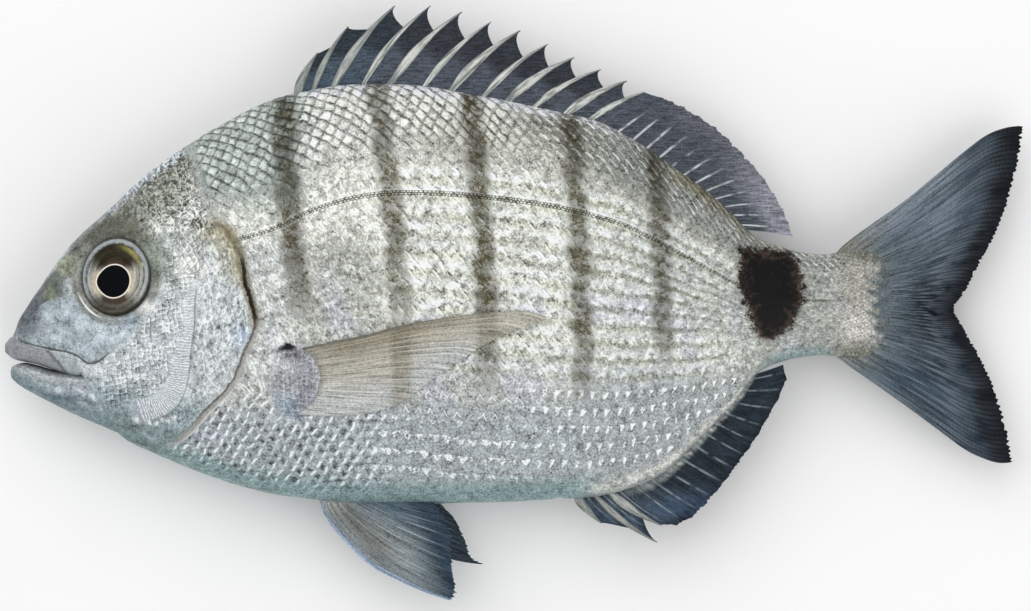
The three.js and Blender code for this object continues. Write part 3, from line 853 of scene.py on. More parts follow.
def head_layers(x, y, height, f, fine):
    head = smooth(f["gill"], -0.4, 0.6) * (x < -60)
    plate = smooth(f["plate"] + 0.15 * fine, -0.3, 0.5)
    cheek = smooth(f["cheek"], 0, -1) * (1 - f["band"]) * smooth(y, 0, -10)
    grainy = 0.5 + 0.3 * fine
    layers = [
        [(194, 200, 200), 1],
        [(178, 181, 176), smooth(y, 12, 24)],
        [(160, 162, 154), smooth(y, 12, 20) * smooth(x, -88, -80)],
        [(124, 127, 118), smooth(height + 0.05 * fine, 0.5, 0.72) * smooth(x, -78, -96)],
        [(96, 104, 102), smooth(x, -120, -128) * smooth(y, -10, -5)],
        [(76, 86, 90), smooth(x, -131, -137) * (1 - plate)],
        [(164, 172, 178), smooth(height, 0.9, 0.98) * smooth(x, -80, -96)],
        [(196, 202, 204), cheek],
        [(168, 178, 184), plate],
        [(160, 174, 178), smooth(height, -0.5, -0.66)],
        [(136, 152, 154), smooth(height, -0.66, -0.84)],
        [(118, 138, 138), smooth(height, -0.86, -0.97)],
        # about the eye
        [(130, 133, 127), smooth(f["eye"], 1.32, 1.22)],
        [(150, 172, 190), spot(x, y, (-105, -4.6), 3.4, 1.6) * 0.5],
        [(236, 238, 234), spot(x, y, (-101, -1.2), 2.2) * 0.7],
        # a dark olive band above the eye: painted shade
        [(90, 92, 80), smooth(f["eye"], 1.7, 1.3) * smooth(y, 13, 19) * 0.85],
        # the snout, with two olive spots
        [(182, 190, 160), spot(x, y, (-123.7, 10.5), 3) * grainy],
        [(88, 96, 88), spot(x, y, (-127.6, 3), 3, 3.5) * 0.8],
        [(172, 178, 140), spot(x, y, (-127.9, 2.8), 1.6) * grainy],
        [(98, 105, 112), smooth(x, -128, -132.5) * smooth(y, -12, -7) * 0.9],
        # the cheek and the gill cover
        # an olive patch behind the eye: a painted sheen
        [(128, 140, 124), spot(x, y, (-97.3, 12), 4, 6) * (0.7 + 0.2 * fine)],
        [(152, 155, 148), spot(x, y, (-87, 19), 5, 4.5) * 0.7],
        [(216, 216, 206), spot(x, y, (-88.5, 10), 4) * 0.7],
        [(190, 198, 204), spot(x, y, (-110, -7), 5, 2.5) * 0.7],
        [(164, 156, 124), smooth(f["gill"], 9, 1) * smooth(y, 2, 9, 24, 19) * 0.6],
        [(158, 176, 200), spot(x, y, (-74.4, -9), 2.6, 4) * 0.6],
    ]
    # a row of bright beads below the gill cover
    for bead in range(6):
        gap = np.hypot(x + 100 - 1.7 * bead, y + 32.3 - 0.25 * bead + 0.5 * (bead % 2))
        layers.append([(234, 238, 236), smooth(gap + 0.3 * fine, 0.85, 0.4)])
    return [[colour, head * amount] for colour, amount in layers]


def scale_marks_glints_and_shade(m, u, v, px, blotch, speck):
    """How much lighter or darker the body's scales make the skin.
    Each scale shows as a diamond, and the marks on it change from the back down to the belly.
    The bright marks are painted highlights, the glints of the scales. The dark lines at each free edge
    and just behind it are painted shade. The pale diamonds and the blotches are the skin's own tone."""
    ahead, behind, row, column, across = scale_cells(u, v, SCALE_REACH)
    luck = m.random(m.vector(column, row))
    second_luck = m.random(m.vector(row, column, 3))
    even = 1 - 2 * calc("FRACT", row * 0.5)
    top = smooth(across, -0.12, 0.12)
    low = 1 - top
    from_middle = abs(across)
    middle = smooth(from_middle, 0.95, 0.6)
    # painted shade at each scale's free edge (edge) and in the crease just behind it (crease)
    edge = smooth(ahead, 0.32, 0)
    crease = smooth(behind, 0.22, 0)
    rear = smooth(px, 8, 30)

    # the back: pale diamonds, with painted shade towards the free edge and in the crease behind it; further
    # to the rear, rows of short bright dashes, painted highlights
    pale = smooth(ahead, 0.06, 0.45) * smooth(behind, 0, 0.14)
    line = calc("MAXIMUM", edge * (0.28 + top * 0.34), crease * (0.12 + low * 0.5))
    on_back = pale * (0.14 + luck * 0.7 + (blotch - 0.42) * 2.2) - line * (0.6 + second_luck * 0.7)
    dashes = smooth(abs(across + (ahead - 0.5) * 0.6), 0.38, 0.06) * smooth(ahead, 0, 0.25, 1, 0.7)
    dashes = dashes * smooth(luck, 0, 0.5) * (0.4 + second_luck) * smooth(blotch, 0.36, 0.56)
    slanted = smooth(abs(ahead - 0.45 - across * 0.64), 0.2, 0.08) * smooth(from_middle, 0.5, 0.25)
    slanted = slanted * (0.5 + luck * 1.1) - 0.2
    on_back = on_back + (slanted - on_back) * smooth(px, -6, 12)
    # the side: short strokes: a painted highlight on the upper half of each free edge, and painted shade
    # just behind it
    glint = smooth(ahead, 0, 0.08, 0.34, 0.14) * top * middle * smooth(luck, 0.35, 0.85)
    stroke = smooth(behind, 0.2, 0.03) * low * smooth(from_middle, 0.8, 0.4) * smooth(second_luck, 0.3, 0.8)
    on_side = glint * 0.6 - stroke * 0.65 + (luck - 0.5) * 0.2 + (blotch - 0.47) * 1.2
    on_side = on_side + ((dashes - 0.14 - crease * 0.15) * 0.5 + 0.03 - on_side) * rear
    # the belly: hollow marks, and filled ones below them, both painted highlights, with painted shade just
    # behind each free edge; at the front, bright dashes, also painted highlights, between dark ovals
    tent = smooth(ahead, 0.14, 0.03) + smooth(behind, 0.14, 0.03)
    tent = tent * top * even * smooth(luck, 0.1, 0.4) * smooth(from_middle, 0.2, 0.4)
    thin = smooth(px, -2, 10)
    flag = low * middle * smooth(ahead, 0, 0.12) * smooth(behind, -0.02, 0.14) * even
    ragged = smooth(speck + (blotch - 0.5) * 0.8 + thin * 0.06, 0.43, 0.56)
    taper = 0.46 - from_middle * 0.4
    wedge = low * even * smooth(from_middle, 1, 0.8) * smooth(ahead, 0, 0.08)
    wedge = wedge * smooth(ahead, taper + 0.1, taper - 0.06)
    flag = (flag + (wedge - flag) * thin) * (0.35 + second_luck * 0.8) * ragged * 1.7
    deep = smooth(v, -23.5, -26)
    deep = deep + (1 - deep) * thin
    on_belly = tent * 1.2 * (1 - deep * 0.6) + flag * deep * 1.4 - smooth(behind, 0.15, 0) * 0.15 - 0.07
    dash = smooth(ahead, 0.36, 0.12) * smooth(across, -0.02, -0.25) * middle
    oval = smooth(behind, 0.08, 0.35) * smooth(ahead, 0.15, 0.45) * middle
    at_front = dash * (0.3 + luck * 1.4) - oval * 0.52 * (0.4 + second_luck)
    on_belly = on_belly + (at_front - on_belly) * smooth(px, -30, -44)

    light = on_side + (on_back - on_side) * smooth(v, 4.5, 7.5)
    return light + (on_belly - light) * smooth(v, -17.5, -20.5)


def skin_material():
    m = Paint("wet_skin")
    place = m.place()
    px, py, _ = m.parts(place)
    u, v, scaled = m.parts("lattice")
    small_u, small_v, small = m.parts("small")
    gill, in_gill, worms = m.parts("gill")
    cheek, cheek_along, band = m.parts("cheek")
    plate, eye_gap, above = m.parts("plate")
    bars, saddle, on_head = m.parts("marks")

    speck = m.noise(place, 1.7, 4, 0.8)
    grains = m.grains(place, 2.4)
    blotch = m.noise(place, 0.55, 3, 0.65)
    patches = m.noise(place, 0.26, 2, 0.6)
    brushed = m.noise(m.vector(px * 1.6, py * 0.4), 1, 3, 0.7)
    slant, down = px * 0.84 + py * 0.54, px * 0.54 - py * 0.84
    hairs = m.threads(slant, down, 0.85, 0.26, 0.07) * smooth(blotch, 0.42, 0.55)
    front = smooth(px, -30, -46)
    rear_back = smooth(px, -6, 12) * smooth(v, 2, 5)

    def speckled(colour, strength):
        return m.brighten(srgb(*colour), 1 + (speck - 0.5) * strength)

    # the scales' marks, with their painted highlights and the painted shade at their edges
    marks_glints_and_shade = scale_marks_glints_and_shade(m, u, v, px, blotch, speck)
    on_side = smooth(v, 5, 2, -21, -18)
    row_wave = calc("SINE", v * 3.14 + (blotch - 0.5) * 5)
    banded = on_side * (1 - front * 0.7) * (0.7 + 0.3 * smooth(px, 0, 30)) * smooth(px, 66, 46)
    marks_glints_and_shade = marks_glints_and_shade * (1 - front * on_side * 0.5) + row_wave * banded * (0.24 + (patches - 0.5) * 0.7)
    hairy = calc("MAXIMUM", on_side * (0.45 + front * 0.5), rear_back * 0.4)
    marks_glints_and_shade = marks_glints_and_shade + (hairs * 0.6 - 0.04) * hairy

    # the small scales: a painted highlight on the rim of each free edge, and painted shade in the crease
    # behind it; on the gill cover, fine strokes as well
    ahead, behind, row, column, across = scale_cells(small_u, small_v, SCALE_REACH)
    luck = m.random(m.vector(column, row, 5))
    rim = smooth(ahead, 0, 0.1, 0.5, 0.2) * smooth(luck, 0.1, 0.8) * smooth(abs(across), 0.95, 0.5)
    cover = smooth(cheek, 0, 1) * smooth(gill, 0, 1)
    crease = smooth(behind, 0.3, 0) * (0.1 + 0.2 * smooth(gill, -1, 0))
    small_marks_glints_and_shade = (rim * 0.65 - crease - 0.08) * (1 - cover * 0.4)
    strokes = m.threads(px, py, 0.6, 0.22, 0.08)
    small_marks_glints_and_shade = small_marks_glints_and_shade + (strokes * 0.45 - 0.12) * cover * smooth(py, -30, -6)

    squiggle = m.threads(px, py, 0.62, 0.5, 0.06)
    crown = on_head * smooth(py, 20, 30)
    coarse = 3.2 - on_side - on_head * 0.7 + crown * 2.5
    grain = (speck - 0.5) * coarse + (grains - 0.5) * 0.6 + (brushed - 0.5) + (blotch - 0.5) * 1.3
    grain = grain + (patches - 0.5) * (0.9 + on_head * 1.1)
    light = 1 + grain * 0.9 + marks_glints_and_shade * scaled + small_marks_glints_and_shade * small + (squiggle * 1.1 - 0.25) * worms
    light = light + (hairs * 1.1 - 0.1) * crown

    # lateral line: a double row of beads in a dark line
    from_line = abs(above)
    bead_x = calc("FRACT", u * 3.4 + calc("LESS_THAN", above, 0) * 0.5 + (blotch - 0.5)) - 0.5
    bead = smooth(m.length(bead_x, from_line / 0.26 - 0.5), 0.45, 0.2)
    line = smooth(from_line, 0.3, 0.24) * scaled
    pale_edge = smooth(from_line, 0.26, 0.36, 0.6, 0.45) * scaled
    light = light * (1 - line * (1 - bead) * 0.78) + (bead * line * 0.2 + pale_edge * 0.16)
    colour = m.brighten(m.attribute("tint"), calc("MAXIMUM", light, 0.12))
    olive = smooth(row_wave, 0.2, -0.7) * smooth(patches, 0.4, 0.56) * banded * 0.7 + line * 0.4
    colour = m.shade(colour, (0.87, 0.88, 0.76), olive * scaled)
    bluish = smooth(brushed, 0.5, 0.65) * 0.6 + smooth(row_wave, 0, 0.9) * banded * 0.6
    colour = m.shade(colour, (0.91, 0.93, 1), bluish)

    # dark bars and the saddle at the tail's root, both mottled and ragged
    mottle = (blotch - 0.5) * 2 + (speck - 0.5) * 2 + (patches - 0.5) + (grains - 0.5) * 0.3
    bar = smooth(bars + mottle * smooth(bars, 0, 0.4), 0.02, 1.3)
    colour = m.shade(colour, (0.1, 0.085, 0.045), bar * 1.05)
    ragged = saddle + (blotch - 0.5) * 3 + (grains - 0.5) * 1.4 + (speck - 0.5) * 5
    colour = m.mix(colour, speckled((58, 42, 32), 7), smooth(ragged, -0.4, 0.5) * 0.96)
    inner = smooth(saddle * 0.6 + (blotch - 0.5) * 9 + (speck - 0.5) * 9, -0.2, 2)
    colour = m.mix(colour, speckled((6, 6, 8), 8), inner * 0.97)

    # slit behind the gill cover, painted dark as the shade in the opening, and the membrane below it, with
    # a painted highlight; a painted shadow runs along the cover's free edge
    ragged = gill + (blotch - 0.5) * 1.4 + (patches - 0.5)
    dark = smooth(ragged, 0.25, -0.05, -1.2, -0.7) * smooth(py, -8, -3, 15, 10)
    skin_fold = smooth(gill, 0.2, -0.2, -1.9, -0.9) * smooth(py, -3, -8) * in_gill
    halo = smooth(ragged, 2, 0.4, -2.4, -1) * smooth(py, -10, -4) * in_gill
    colour = m.shade(colour, (0.5, 0.42, 0.28), halo * 0.8)
    colour = m.mix(colour, speckled((178, 176, 172), 2), skin_fold * 0.85)
    colour = m.over(colour, [[(30, 22, 18), dark * 0.95]])
    # painted shadow along the gill cover's free edge
    edge = smooth(abs(ragged + 0.1), 0.5, 0.1) * in_gill
    colour = m.shade(colour, (0.2, 0.18, 0.16), edge * 0.8 * smooth(py, 20, -6, -40, -26))
    shine = smooth(abs(gill + 1.6), 0.4, 0.1) * smooth(py, -20, -27) * in_gill
    colour = m.over(colour, [[(226, 226, 222), shine * 0.7]])

    # cheek bone: a combed band and the line along it
    comb = calc("SINE", cheek_along * 8.4 + (blotch - 0.5) * 14 + cheek * 0.5)
    colour = m.mix(colour, speckled((210, 215, 222), 2), band * 0.75)
    colour = m.brighten(colour, 1 + comb * smooth(speck, 0.4, 0.5) * band * 0.45)
    cheek_line = smooth(abs(cheek), 0.3, 0.05) * smooth(py, 6, 1, -33, -26)
    colour = m.shade(colour, (0.3, 0.32, 0.32), cheek_line * 0.7)

    # bone in front of the eye: a dark lower edge, and a bright one below the eye
    lower_edge = smooth(abs(plate), 0.45, 0.1) * smooth(py, -8, -9.6) * smooth(px, -108, -114)
    bright = smooth(abs(eye_gap - 1.13), 0.035, 0.01) * smooth(py, 4, 0) * smooth(px, -112, -116)
    colour = m.over(colour, [[(44, 48, 50), lower_edge * 0.8], [(240, 243, 242), bright * 0.9]])

    height = (1 - ahead) * small * 0.3 + speck * 0.5 + comb * band * 0.1 + squiggle * worms * 0.4
    return m.done(
        colour, 0.36 + 0.2 * speck, m.bump(height, 0.12),
        metallic=0.15, shine=0.15, coat=0.05, coat_roughness=0.15,
    )


# The jaws


def plain_paint(name, grain=1, roughness=0.42):
    m = Paint(name)
    place = m.place()
    speck = m.noise(place, 1.7, 4, 0.8)
    blotch = m.noise(place, 0.55, 3, 0.65)
    light = 1 + ((speck - 0.5) * 2.4 + (m.grains(place, 2.6) - 0.5) * 0.4 + (blotch - 0.5) * 1.6) * grain
    colour = m.brighten(m.attribute("tint"), light)
    return m.done(
        colour, roughness, m.bump(speck, 0.1), metallic=0.1, shine=0.2, coat=0.08, coat_roughness=0.15,
    )


def jaw():
    front_x, rear_x = JAW_TOP[0][0], JAW_TOP[-1][0]
    x = np.linspace(front_x, rear_x, 90)
    top, chin = profile(JAW_TOP), profile(JAW_CHIN)

    def depth(xs, ys):
        front = rolled(np.clip((xs - front_x) / 5, 0.01, 1), 1)
        return flank(xs, ys) * front * rolled(top(xs) - ys, 2.6)

    xs, ys, zs, _ = side_grid(x, top(x), chin(x), depth, 60)
    below = top(xs) - ys
    zs = zs - 0.5 * bell(below - 4, 0.8) * np.minimum(zs, 1) - 0.3 * np.minimum(zs, 1)
    fine, wide = ripple(xs, ys, 3), ripple(xs, ys, 7)
    crease = from_curve(xs, ys, JAW_CREASE)[0]
    glint = bell(below - 5.2, 0.9) * smooth(wide + 0.5 * fine, -0.4, 0.8)
    tint = tinted(xs, (158, 170, 176), [
        [(176, 182, 186), smooth(below, 4.5, 3)],
        [(122, 142, 146), smooth(ys - chin(xs), 5, 1.5)],
        [(92, 110, 122), bell(below - 7.4, 1.7) * smooth(xs, -132, -127) * smooth(wide, -0.9, 0.4) * 0.8],
        [(218, 225, 230), glint * smooth(xs, -134, -130)],
        [(158, 170, 173), smooth(xs, -117, -111) * smooth(ys, -32, -27)],
        [(84, 92, 96), bell(crease, 0.5) * smooth(below, 0.5, 1.5) * 0.7],
        [(70, 74, 74), smooth(below, 0.7, 0.1) * smooth(xs, -137, -134) * 0.6],
    ])
    loft_both("lower_jaw", np.stack([xs, ys, zs], -1), {"tint": tint}, plain_paint("jaw_skin"))


def lip():
    front_x, rear_x = LIP_TOP[0][0], LIP_TOP[-1][0]
    x = np.linspace(front_x, rear_x, 80)
    top, low = profile(LIP_TOP), profile(LIP_LOW)

    def depth(xs, ys):
        middle = (top(xs) + low(xs)) / 2
        half = np.maximum((top(xs) - low(xs)) / 2, 0.01)
        cos = np.clip((ys - middle) / half, -1, 1)
        ends = rolled(np.clip(np.minimum(xs - front_x, rear_x - xs) / 4, 0.01, 1), 1)
        out = flank(np.maximum(xs, front_x + 1), middle) + 0.7
        return out * ends * np.sqrt(np.maximum(1 - cos**4, 0))

    xs, ys, zs, _ = side_grid(x, top(x), low(x), depth, 44)
    rear = from_curve(xs, ys, LIP_SEAM)[0]
    tint = tinted(xs, (143, 147, 152), [
        [(160, 170, 174), smooth(rear, -0.2, 0.4)],
        [(58, 60, 62), bell(rear, 0.35) * 0.7],
        # a painted highlight at the rear end of the upper lip
        [(228, 232, 236), spot(xs, ys, (-118.6, -16.4), 1.2) * 0.8],
        [(60, 62, 62), smooth(ys - low(xs), 0.6, 0.1) * 0.5],
    ])
    loft_both("upper_lip", np.stack([xs, ys, zs], -1), {"tint": tint}, plain_paint("lip_skin", 0.7))


# The eyes


def eye_material():
    """An iris in rings: dark above and below the pupil, silver at its sides, and a pale outer ring."""
    m = Paint("eye")
    x, y, _ = m.parts("disc")
    from_middle = m.length(x, y)
    px, py = x * EYE["across"] + 0.1, y * EYE["high"] + 1.5
    reach = m.length(px, py)
    # the pupil is round, with a small point towards the snout
    forward = calc("MAXIMUM", -px / reach, 0)
    q = reach - (4.6 + 0.55 * forward**8)
    across = abs(px) / reach
    upward = y / calc("MAXIMUM", from_middle, 0.01)
    streak = m.noise(m.vector(x, y), 9, 3, 0.7)
    rings = m.noise(m.vector(from_middle * 9, x * 0.6, y * 0.6), 1, 2, 0.6)

    colour = m.mix(srgb(104, 106, 104), srgb(184, 184, 176), smooth(rings, 0.34, 0.64))
    top = smooth(upward, 0.15, 0.7) * smooth(from_middle, 0.36, 0.5, 0.88, 0.8)
    # a painted olive-gold glint in the iris, above and behind the pupil
    gold_glint = smooth(x, -0.1, 0.6) * smooth(y, 0, 0.6) * smooth(from_middle, 0.64, 0.76, 0.86, 0.78)
    low = smooth(upward, -0.45, -0.9) * smooth(from_middle, 0.68, 0.82)
    outer = smooth(from_middle, 0.82, 0.88) * smooth(upward, -0.8, -0.2) * smooth(streak, 0.25, 0.6)
    ring = smooth(abs(from_middle - 0.84), 0.035, 0.005)
    colour = m.over(colour, [
        [(206, 192, 166), smooth(q, 2.2, 0.2) * smooth(across, 0.6, 0.95) * 0.85],
        [(58, 43, 30), smooth(q, 3, 1.4) * smooth(across, 0.9, 0.5) * 0.95],
        [(38, 32, 18), top * 0.95],
        [(158, 152, 92), gold_glint * 0.9],
        [(56, 54, 40), low * 0.85],
        [(150, 160, 168), outer * 0.75],
        [(60, 60, 54), ring * smooth(streak, 0.6, 0.4) * 0.7],
        [(46, 46, 42), smooth(from_middle, 0.93, 0.99) * 0.85],
    ])
    colour = m.brighten(colour, 1 + (streak - 0.5) * 1.4)
    pale_rim, pupil = smooth(abs(q), 0.28, 0.1), smooth(q, -0.06, -0.24)
    colour = m.over(colour, [[(246, 238, 226), pale_rim], [(2, 4, 8), pupil]])
    return m.done(colour, 0.3, shine=0.03, coat=0.02, coat_roughness=0.05)


def eye(side, name, material):
    """A low dome, square to the skin about it; side is 1 for the left and -1 for the right."""
    spokes = 64
    rises = np.concatenate([np.linspace(0.04, 1, 26), [1, 1]])
    drop = np.concatenate([np.zeros(26), [0.8, 2.4]])
    angle = np.linspace(0, 2 * math.pi, spokes, endpoint=False)
    r = rises[:, None] + 0 * angle
    out = EYE["bulge"] * np.sqrt(np.maximum(1 - r**2, 0)) - drop[:, None] - 0.35
    x, y = r * np.cos(angle), r * np.sin(angle)
    ex, ey = EYE["x"], EYE["y"]
    about_x, about_y = np.array([1, -1, 0, 0, 0]), np.array([0, 0, 1, -1, 0])
    ahead, behind, above, below, here = flank(ex + about_x, ey + about_y)
    normal = Vector(((behind - ahead) / 2, (below - above) / 2, 1)).normalized()
    lean = np.array(Vector((0, 0, 1)).rotation_difference(normal).to_matrix())
    local = np.stack([x * EYE["across"], y * EYE["high"], out], -1) @ lean.T
    local += [ex, ey, here]
    local[..., 2] *= side
    loft(name, local, {"disc": np.stack([x, y, 0 * x], -1)}, material)


# The fins

POINTS_A_RAY = 14


def branching(u, v, fin):
    """How much of a ray is at a place: each ray forks in two beyond every share of its length in forks."""
    split = abs(calc("FRACT", u * fin["rays"]) - 0.5)
    gap = 0.25
    for fork in fin.get("forks", ()):
        split = abs(split - gap * smooth(v, fork, fork + 0.3))
        gap = gap / 2
    return split


def fin_sheet(name, middle, u, v, half, tint, material):
    """A closed thin web: middle is a grid of places, and half its half thickness."""
    offset = surface_normals(middle) * half[..., None]
    rings = np.concatenate([middle + offset, (middle - offset)[:, ::-1]], 1)
    loft(name, rings, mirrored({"tint": tint, "ray": np.stack([u, v, 0 * u], -1)}), material)


def fin_material(name, fin, ray_colour, strength, sharp=0.1, first_ray=0, level=False, groove=0, fade=1.05):
    """A web with rays in it. Its fine streaks run along the rays, or level along the fish.
    Groove darkens the web between the rays, and fade is where the rays are no longer seen."""
    m = Paint(name)
    place = m.place()
    px, py, _ = m.parts(place)
    u, v, _ = m.parts("ray")
    ray = u * fin["rays"]
    split = branching(u, v, fin)
    ridge = smooth(split, sharp * 1.6, sharp * 0.3)
    patches = m.noise(m.vector(ray * 1.3, v * 5), 1)
    speck = m.noise(place, 1.7, 4, 0.8)
    along = m.vector(px * 0.25 + py * 0.1, py * 2) if level else m.vector(ray * 3, v * 2.4)
    streak = m.noise(along, 1, 3, 0.7)
    joint = smooth(abs(calc("FRACT", v * 46) - 0.5), 0.3, 0.45)
    streaks = (streak - 0.5) * (3.4 - 5 * groove)
    light = 1 + (speck - 0.5) * 2.2 + (m.grains(place, 2.6) - 0.5) * 0.35 + streaks
    light = light * (1 - smooth(split, sharp, sharp + 0.15) * groove)
    colour = m.brighten(m.attribute("tint"), calc("MAXIMUM", light, 0.35))
    shown = ridge * smooth(patches, 0.3, 0.62) * smooth(ray, first_ray - 0.6, first_ray)
    shown = shown * (1 - joint * 0.45) * strength * smooth(v, fade, fade * 0.6)
    colour = m.over(colour, [[ray_colour, shown]])
    relief = m.bump(ridge * 0.7 + streak * 0.3, 0.12)
    return m.done(colour, 0.5, relief, shine=0.1, coat=0.03, coat_roughness=0.2)


def flat_fin(name, fin, columns, lines, lean, colours, material, stout=0.62):
    """A fin between four edges; lean gives its distance from the plane of symmetry."""
    u, v = np.meshgrid(np.linspace(0, 1, columns), np.linspace(0, 1, lines), indexing="ij")
    ridge = smooth(branching(u, v, fin), 0.16, 0.03)
    frayed = 1 - 0.012 * (1 - ridge) - 0.014 * np.abs(ripple(u * 300, 0 * u, 9))
    x, y = np.moveaxis(patch(fin)(u, v * frayed), -1, 0)
    half = (stout + (0.2 - stout) * v) * (0.55 + 0.45 * ridge)
    middle = np.stack([x, y, lean(x, y, u, v)], -1)
    fin_sheet(name, middle, u, v, half, colours(x, y, u, v), material)


def ray_point(fin, n, v):
    """A place on ray n of a fin, at a share v of its length from a root sunk in the body."""
    outline = BACK if fin["side"] > 0 else UNDER
    foot_x = profile(fin["feet"])(n)
    foot = np.stack([foot_x, outline(foot_x)], -1)
    tip = np.stack([profile(fin["tips"])(n), profile(fin["tips"], 2)(n)], -1)
    run = tip - foot
    foot = foot - run * (fin["sink"] / np.linalg.norm(run, axis=-1, keepdims=True))
    run = tip - foot
    straighter = 1 - 0.7 * smooth(n, fin["spines"] - 2, fin["spines"] + 2)
    bow = fin["side"] * fin["bow"] * straighter * 4 * v * (1 - v)
    forward = np.stack([-run[..., 1], run[..., 0]], -1) * bow[..., None]
    return foot + run * v[..., None] + forward


def rayed_fin(name, fin, colours, material):
    """A fin on a row of rays, whose web is notched behind each spine."""
    n = np.linspace(0, fin["rays"], fin["rays"] * POINTS_A_RAY + 1)
    line = np.floor(np.minimum(n, fin["rays"] - 1e-6))
    share = n - line
    frayed = 0.015 * np.sin(math.pi * share) + 0.02 * np.abs(ripple(n * 50, 0 * n, 9))
    reach = np.where(n < fin["spines"] - 1, 1 - fin["notch"] * share**0.65, 1 - frayed)
    nn, vv = np.meshgrid(n, np.linspace(0, 1, 50), indexing="ij")
    row, part = line[:, None] + 0 * vv, share[:, None]
    up = vv * reach[:, None]
    a = ray_point(fin, row, up)
    b = ray_point(fin, row + 1, up)
    x, y = np.moveaxis(a + (b - a) * part[..., None], -1, 0)
    ridge = smooth(np.abs(part - np.round(part)) + 0 * vv, 0.2, 0.04)
    half = (0.6 - 0.38 * vv) * (0.55 + 0.45 * ridge)
    middle = np.stack([x, y, 0 * x], -1)
    fin_sheet(name, middle, nn / fin["rays"], vv, half, colours(x, y, nn, vv), material)


def spines(name, fin, material):
    """The stiff spines of a fin: flat blades, every other one narrower."""
    v = np.linspace(0, 1, 30)
    for n in range(fin["spines"]):
        p = ray_point(fin, np.full_like(v, n), v)
        ahead = np.gradient(p, axis=0)
        ahead /= np.linalg.norm(ahead, axis=1, keepdims=True)
        radius = profile(SPINE_WIDTH)(v) * (0.75 if n % 2 else 1)
        angle = (np.arange(12) + 0.5) / 12 * 2 * math.pi
        across = np.cos(angle) + 0 * radius[:, None]
        x = p[:, :1] - ahead[:, 1:] * across * radius[:, None]
        y = p[:, 1:] + ahead[:, :1] * across * radius[:, None]
        z = 0.95 * (0.3 + 0.7 * radius[:, None]) * np.sin(angle)
        fields = {"ray": np.stack([0 * x + n, v[:, None] + 0 * x, across], -1)}
        loft(f"{name}_{n + 1}", np.stack([x, y, z], -1), fields, material)


def spine_material():
    m = Paint("spine")
    n, v, across = m.parts("ray")
    speck = m.noise(m.place(), 2, 3, 0.7)
    stripe = m.noise(m.vector(across * 1.6, v * 3.5, n * 4), 1, 2, 0.6)
    colour = m.mix(srgb(116, 122, 120), srgb(208, 211, 205), smooth(stripe, 0.36, 0.6))
    colour = m.over(colour, [
        [(98, 104, 102), smooth(v, 0.6, 1) * 0.7],
        [(108, 114, 112), smooth(n, 3.5, 1) * 0.6],
        # painted shade along the sides of each spine
        [(60, 64, 68), smooth(abs(across), 0.7, 1) * 0.6],
    ])
    colour = m.brighten(colour, 1 + (speck - 0.5) * 1.2)
    return m.done(colour, 0.4, m.bump(stripe, 0.1), shine=0.3, coat=0.15, coat_roughness=0.15)


def breast_lean(side):
    """The breast fin rises out of the flesh at its root and lies close along the flank."""

    def lean(x, y, u, v):
        lift = (BREAST_LIFT - 0.4) * v**1.5 * (1 - 0.9 * smooth(u, 0.1, 0.6))
        out = flank(x, y) - 0.9 + 1.3 * smooth(v, 0, 0.1) + lift
        if side < 0:
            out = np.minimum(out, REST_DEPTH - 0.3)
        return side * out

    return lean


def pelvic_lean(side):
    def lean(x, y, u, v):
        return side * PELVIC_ASIDE * (0.3 + 0.7 * v) + 0.6 * np.sin(u * 5) * v

    return lean


def tail_tint(x, y, u, v):
    return tinted(x, (80, 92, 101), [
        [(98, 109, 121), smooth(y, 8, 26)],
        [(58, 72, 84), smooth(y, -8, -22)],
        [(34, 45, 58), smooth(v, 0.5, 0.8) * 0.8],
        [(3, 10, 22), bell(y + 2, 10) * smooth(x, 104, 114)],
        [(10, 14, 22), smooth(v + 0.02 * ripple(u * 90, v * 30, 6), 0.8, 0.93)],
        [(96, 107, 112), smooth(v, 0.34, 0.1)],
        [(122, 122, 112), smooth(v, 0.2, 0.03) * smooth(np.abs(y), 7, 12) * 0.8],
        [(134, 132, 122), smooth(v, 0.42, 0.05) * smooth(u, 0.12, 0.02) * 0.8],
        [(132, 142, 150), smooth(u, 0.09, 0.02) * smooth(v, 0.8, 0.5, 0.05, 0.2) * 0.6],
        [(132, 142, 150), smooth(u, 0.93, 0.99) * smooth(v, 0.7, 0.4) * 0.3],
    ])


def back_fin_tint(x, y, n, v):
    return tinted(x, (74, 80, 90), [
        [(66, 84, 98), smooth(n, 4, 2) * 0.7],
        [(28, 30, 36), smooth(v, 0.45, 0.66) * smooth(n, 12, 9) * 0.7],
        [(72, 78, 86), smooth(n, 11, 13)],
        [(96, 98, 108), smooth(n, 12, 15) * smooth(v, 0.6, 0.95) * 0.8],
        [(142, 144, 155), smooth(n, 17, 22) * smooth(v, 0.4, 0.8) * 0.8],
    ])


def vent_fin_tint(x, y, n, v):
    mottle = smooth(ripple(x, y, 1.6, 14), -0.2, 1.2)
    return tinted(x, (34, 44, 52), [
        [(66, 79, 92), smooth(y, -48, -58)],
        [(28, 36, 46), smooth(v, 0.75, 1) * 0.8],
        [(130, 138, 136), smooth(v, 0.33, 0.22) * smooth(n, 2, 4) * 0.9],
        # painted glints of the small scales along the fin's base
        [(196, 198, 190), smooth(v, 0.32, 0.24) * smooth(n, 4, 7) * mottle * 0.7],
        [(46, 64, 88), bell(y + 56, 4) * smooth(v, 0.4, 0.7) * 0.6],
    ])


